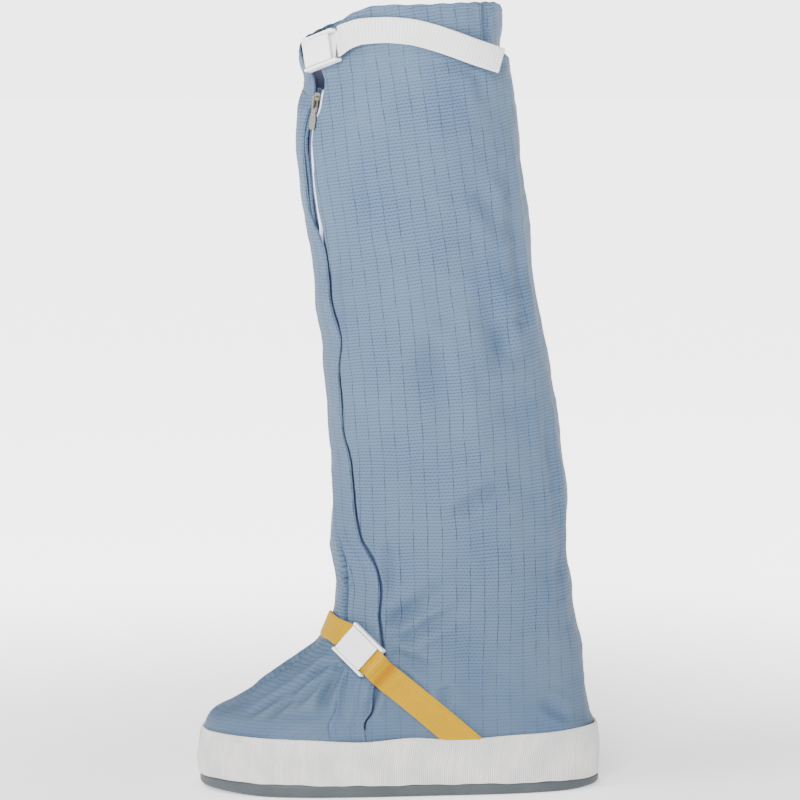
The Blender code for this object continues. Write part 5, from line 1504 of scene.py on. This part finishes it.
def moulded(name, outline_points, low, high, axes, origin, order, rounding, nodes):
    """A closed outline drawn between two levels along one axis of a buckle, with rounded edges."""
    count = len(outline_points)
    local = []
    for end in (low, high):
        for first, second in outline_points:
            values = {order[0]: first, order[1]: second, order[2]: end}
            local.append([values["along"], values["across"], values["out"]])
    turned = np.array(local) @ np.array(axes) + origin
    faces = grid_faces(2, count, closed=True)
    faces += [list(range(count)), list(range(count, 2 * count))]
    made = piece(name, turned, faces, polyacetal)
    shape = made.modifiers.new("rounding", "BEVEL")
    shape.width = rounding
    shape.segments = 4
    shape.limit_method = "ANGLE"
    shape.angle_limit = math.radians(25)
    shape.harden_normals = False
    bpy.context.view_layer.objects.active = made
    bpy.ops.object.select_all(action="DESELECT")
    made.select_set(True)
    bpy.ops.object.mode_set(mode="EDIT")
    bpy.ops.mesh.select_all(action="SELECT")
    bpy.ops.mesh.normals_make_consistent(inside=False)
    bpy.ops.object.mode_set(mode="OBJECT")
    bpy.ops.object.modifier_apply(modifier="rounding")
    made.data.shade_smooth()
    made.data.set_sharp_from_angle(angle=math.radians(40))
    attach(made, "boot")
    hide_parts(*nodes)


def cam_buckle(prefix, strap, origin, axes):
    """A buckle for a strap of one width: its channel, and its lever pressed down flat."""
    inside = strap / 2 + BUCKLE_SIDE_PLAY
    outside = inside + BUCKLE_WALL
    channel = [
        (-outside, 0.0),
        (outside, 0.0),
        (outside, BUCKLE_HEIGHT),
        (inside, BUCKLE_HEIGHT),
        (inside, BUCKLE_BASE),
        (-inside, BUCKLE_BASE),
        (-inside, BUCKLE_HEIGHT),
        (-outside, BUCKLE_HEIGHT),
    ]
    moulded(prefix + "_channel", channel, -BUCKLE_LENGTH / 2, BUCKLE_LENGTH / 2, axes, origin,
        ("across", "out", "along"), 0.0007, [prefix + "_frame"])
    reach = inside - CLEARANCE
    top = BUCKLE_HEIGHT + CLEARANCE
    low = BUCKLE_HEIGHT - LEVER_THICKNESS
    half = LEVER_LENGTH / 2
    plate = [
        (-half, low + 0.0006),
        (-half * 0.9, low),
        (half * 0.86, low),
        (half, low + 0.0010),
        (half, top - 0.0003),
        (half * 0.93, top + 0.0001),
        (half * 0.86, top - 0.0002),
        (half * 0.80, top - 0.0005),
        (half * 0.40, top - 0.0002),
        (0.0, top),
        (-half * 0.5, top - 0.0001),
        (-half * 0.93, top - 0.0006),
        (-half, top - 0.0012),
    ]
    moulded(prefix + "_pressed_lever", plate, -reach, reach, axes, origin - axes[0] * LEVER_SETBACK,
        ("along", "out", "across"), 0.0003, [prefix + "_lever"])


cam_buckle("ankle_buckle", ANKLE_WEBBING, ankle_origin, ankle_axes)

# Collar strap: 18 mm white polyester webbing with bold cross ribs. It is threaded through the collar's
# buckle, and its loose tail lies over the outer side, the cut end standing off the cloth.
COLLAR_WEBBING = 0.0180
TAIL_LIFT = 0.0045
COLLAR_BUCKLE_ASIDE = 0.0110
COLLAR_BUCKLE_SLOPE = math.radians(17)
TAIL_LEAVES = 0.12
TAIL_FOLLOWS = 0.72
SLOPE_STEP = 0.01
# Place as a share of the shaft's depth, drop of its middle below the top as a share of its width, and how
# far it stands off the shaft as a share of the tail's lift
TAIL = table(
    "place drop stand",
    [
        (-0.300, 1.640, 1.00),
        (-0.184, 1.190, 0.45),
        (-0.086, 1.130, 0.25),
        (0.011, 1.190, 0.25),
        (0.107, 1.390, 0.25),
        (0.204, 1.680, 0.30),
        (0.300, 2.000, 0.55),
        (0.411, 2.330, 1.10),
    ],
)
white_webbing = webbing_material("woven_white_polyester", ("dcdbd9", "e6e5e4"), "8a8988", 2.4, 0.9, 0.7,
    "c8c7c6")

buckle_arc = float(zip_arc(COLLAR_BUCKLE_HEIGHT)) + COLLAR_BUCKLE_ASIDE
half_across = COLLAR_WEBBING / 2 + BUCKLE_SIDE_PLAY + BUCKLE_WALL
collar_origin, collar_axes = seated(COLLAR_BUCKLE_HEIGHT, buckle_arc, COLLAR_BUCKLE_SLOPE, half_across,
    2 * CLEARANCE)
tail_lines = []
for part in (0.0, 0.52):
    tail_lines.append(in_buckle(collar_origin, collar_axes, BUCKLE_LENGTH * part, COLLAR_WEBBING))
leaves = (collar_origin + collar_axes[0] * BUCKLE_LENGTH * 0.62)[0] / SHAFT_DEPTH
for place_on in np.linspace(leaves, TAIL["place"][-1], 20):
    x = SHAFT_DEPTH * place_on
    nearby = (place_on, place_on - SLOPE_STEP, place_on + SLOPE_STEP)
    drop, before, after = (float(smooth(TAIL, "drop", place)) * COLLAR_WEBBING for place in nearby)
    width = min(nearby[2], TAIL["place"][-1]) - max(nearby[1], TAIL["place"][0])
    slope = math.atan2(before - after, SHAFT_DEPTH * width)
    half_x = -math.sin(slope) * COLLAR_WEBBING / 2
    half_z = math.cos(slope) * COLLAR_WEBBING / 2
    height = BOOT_HEIGHT - drop
    lift = CLEARANCE + TAIL_LIFT * float(smooth(TAIL, "stand", place_on))
    edges = []
    for side_x, side_z in ((x + half_x, height + half_z), (x - half_x, height - half_z)):
        leaving = max(side_x - TAIL_LEAVES * SHAFT_DEPTH, 0.0)
        spot = lifted(side_z, arc_at(side_z, side_x - leaving * (1 - TAIL_FOLLOWS), OUTER), lift)
        edges.append(np.array([side_x, spot[1], side_z]))
    shares = np.arange(STRAP_ACROSS) / (STRAP_ACROSS - 1)
    line = [edges[0] + (edges[1] - edges[0]) * share for share in shares]
    tail_lines.append([clear_of_upper(point, CLEARANCE) for point in line])
webbing("collar_webbing", tail_lines, white_webbing, "white_webbing", ["collar_strap"], 0.0024, 0.00022,
    step=0.0004)
cam_buckle("collar_buckle", COLLAR_WEBBING, collar_origin, collar_axes)
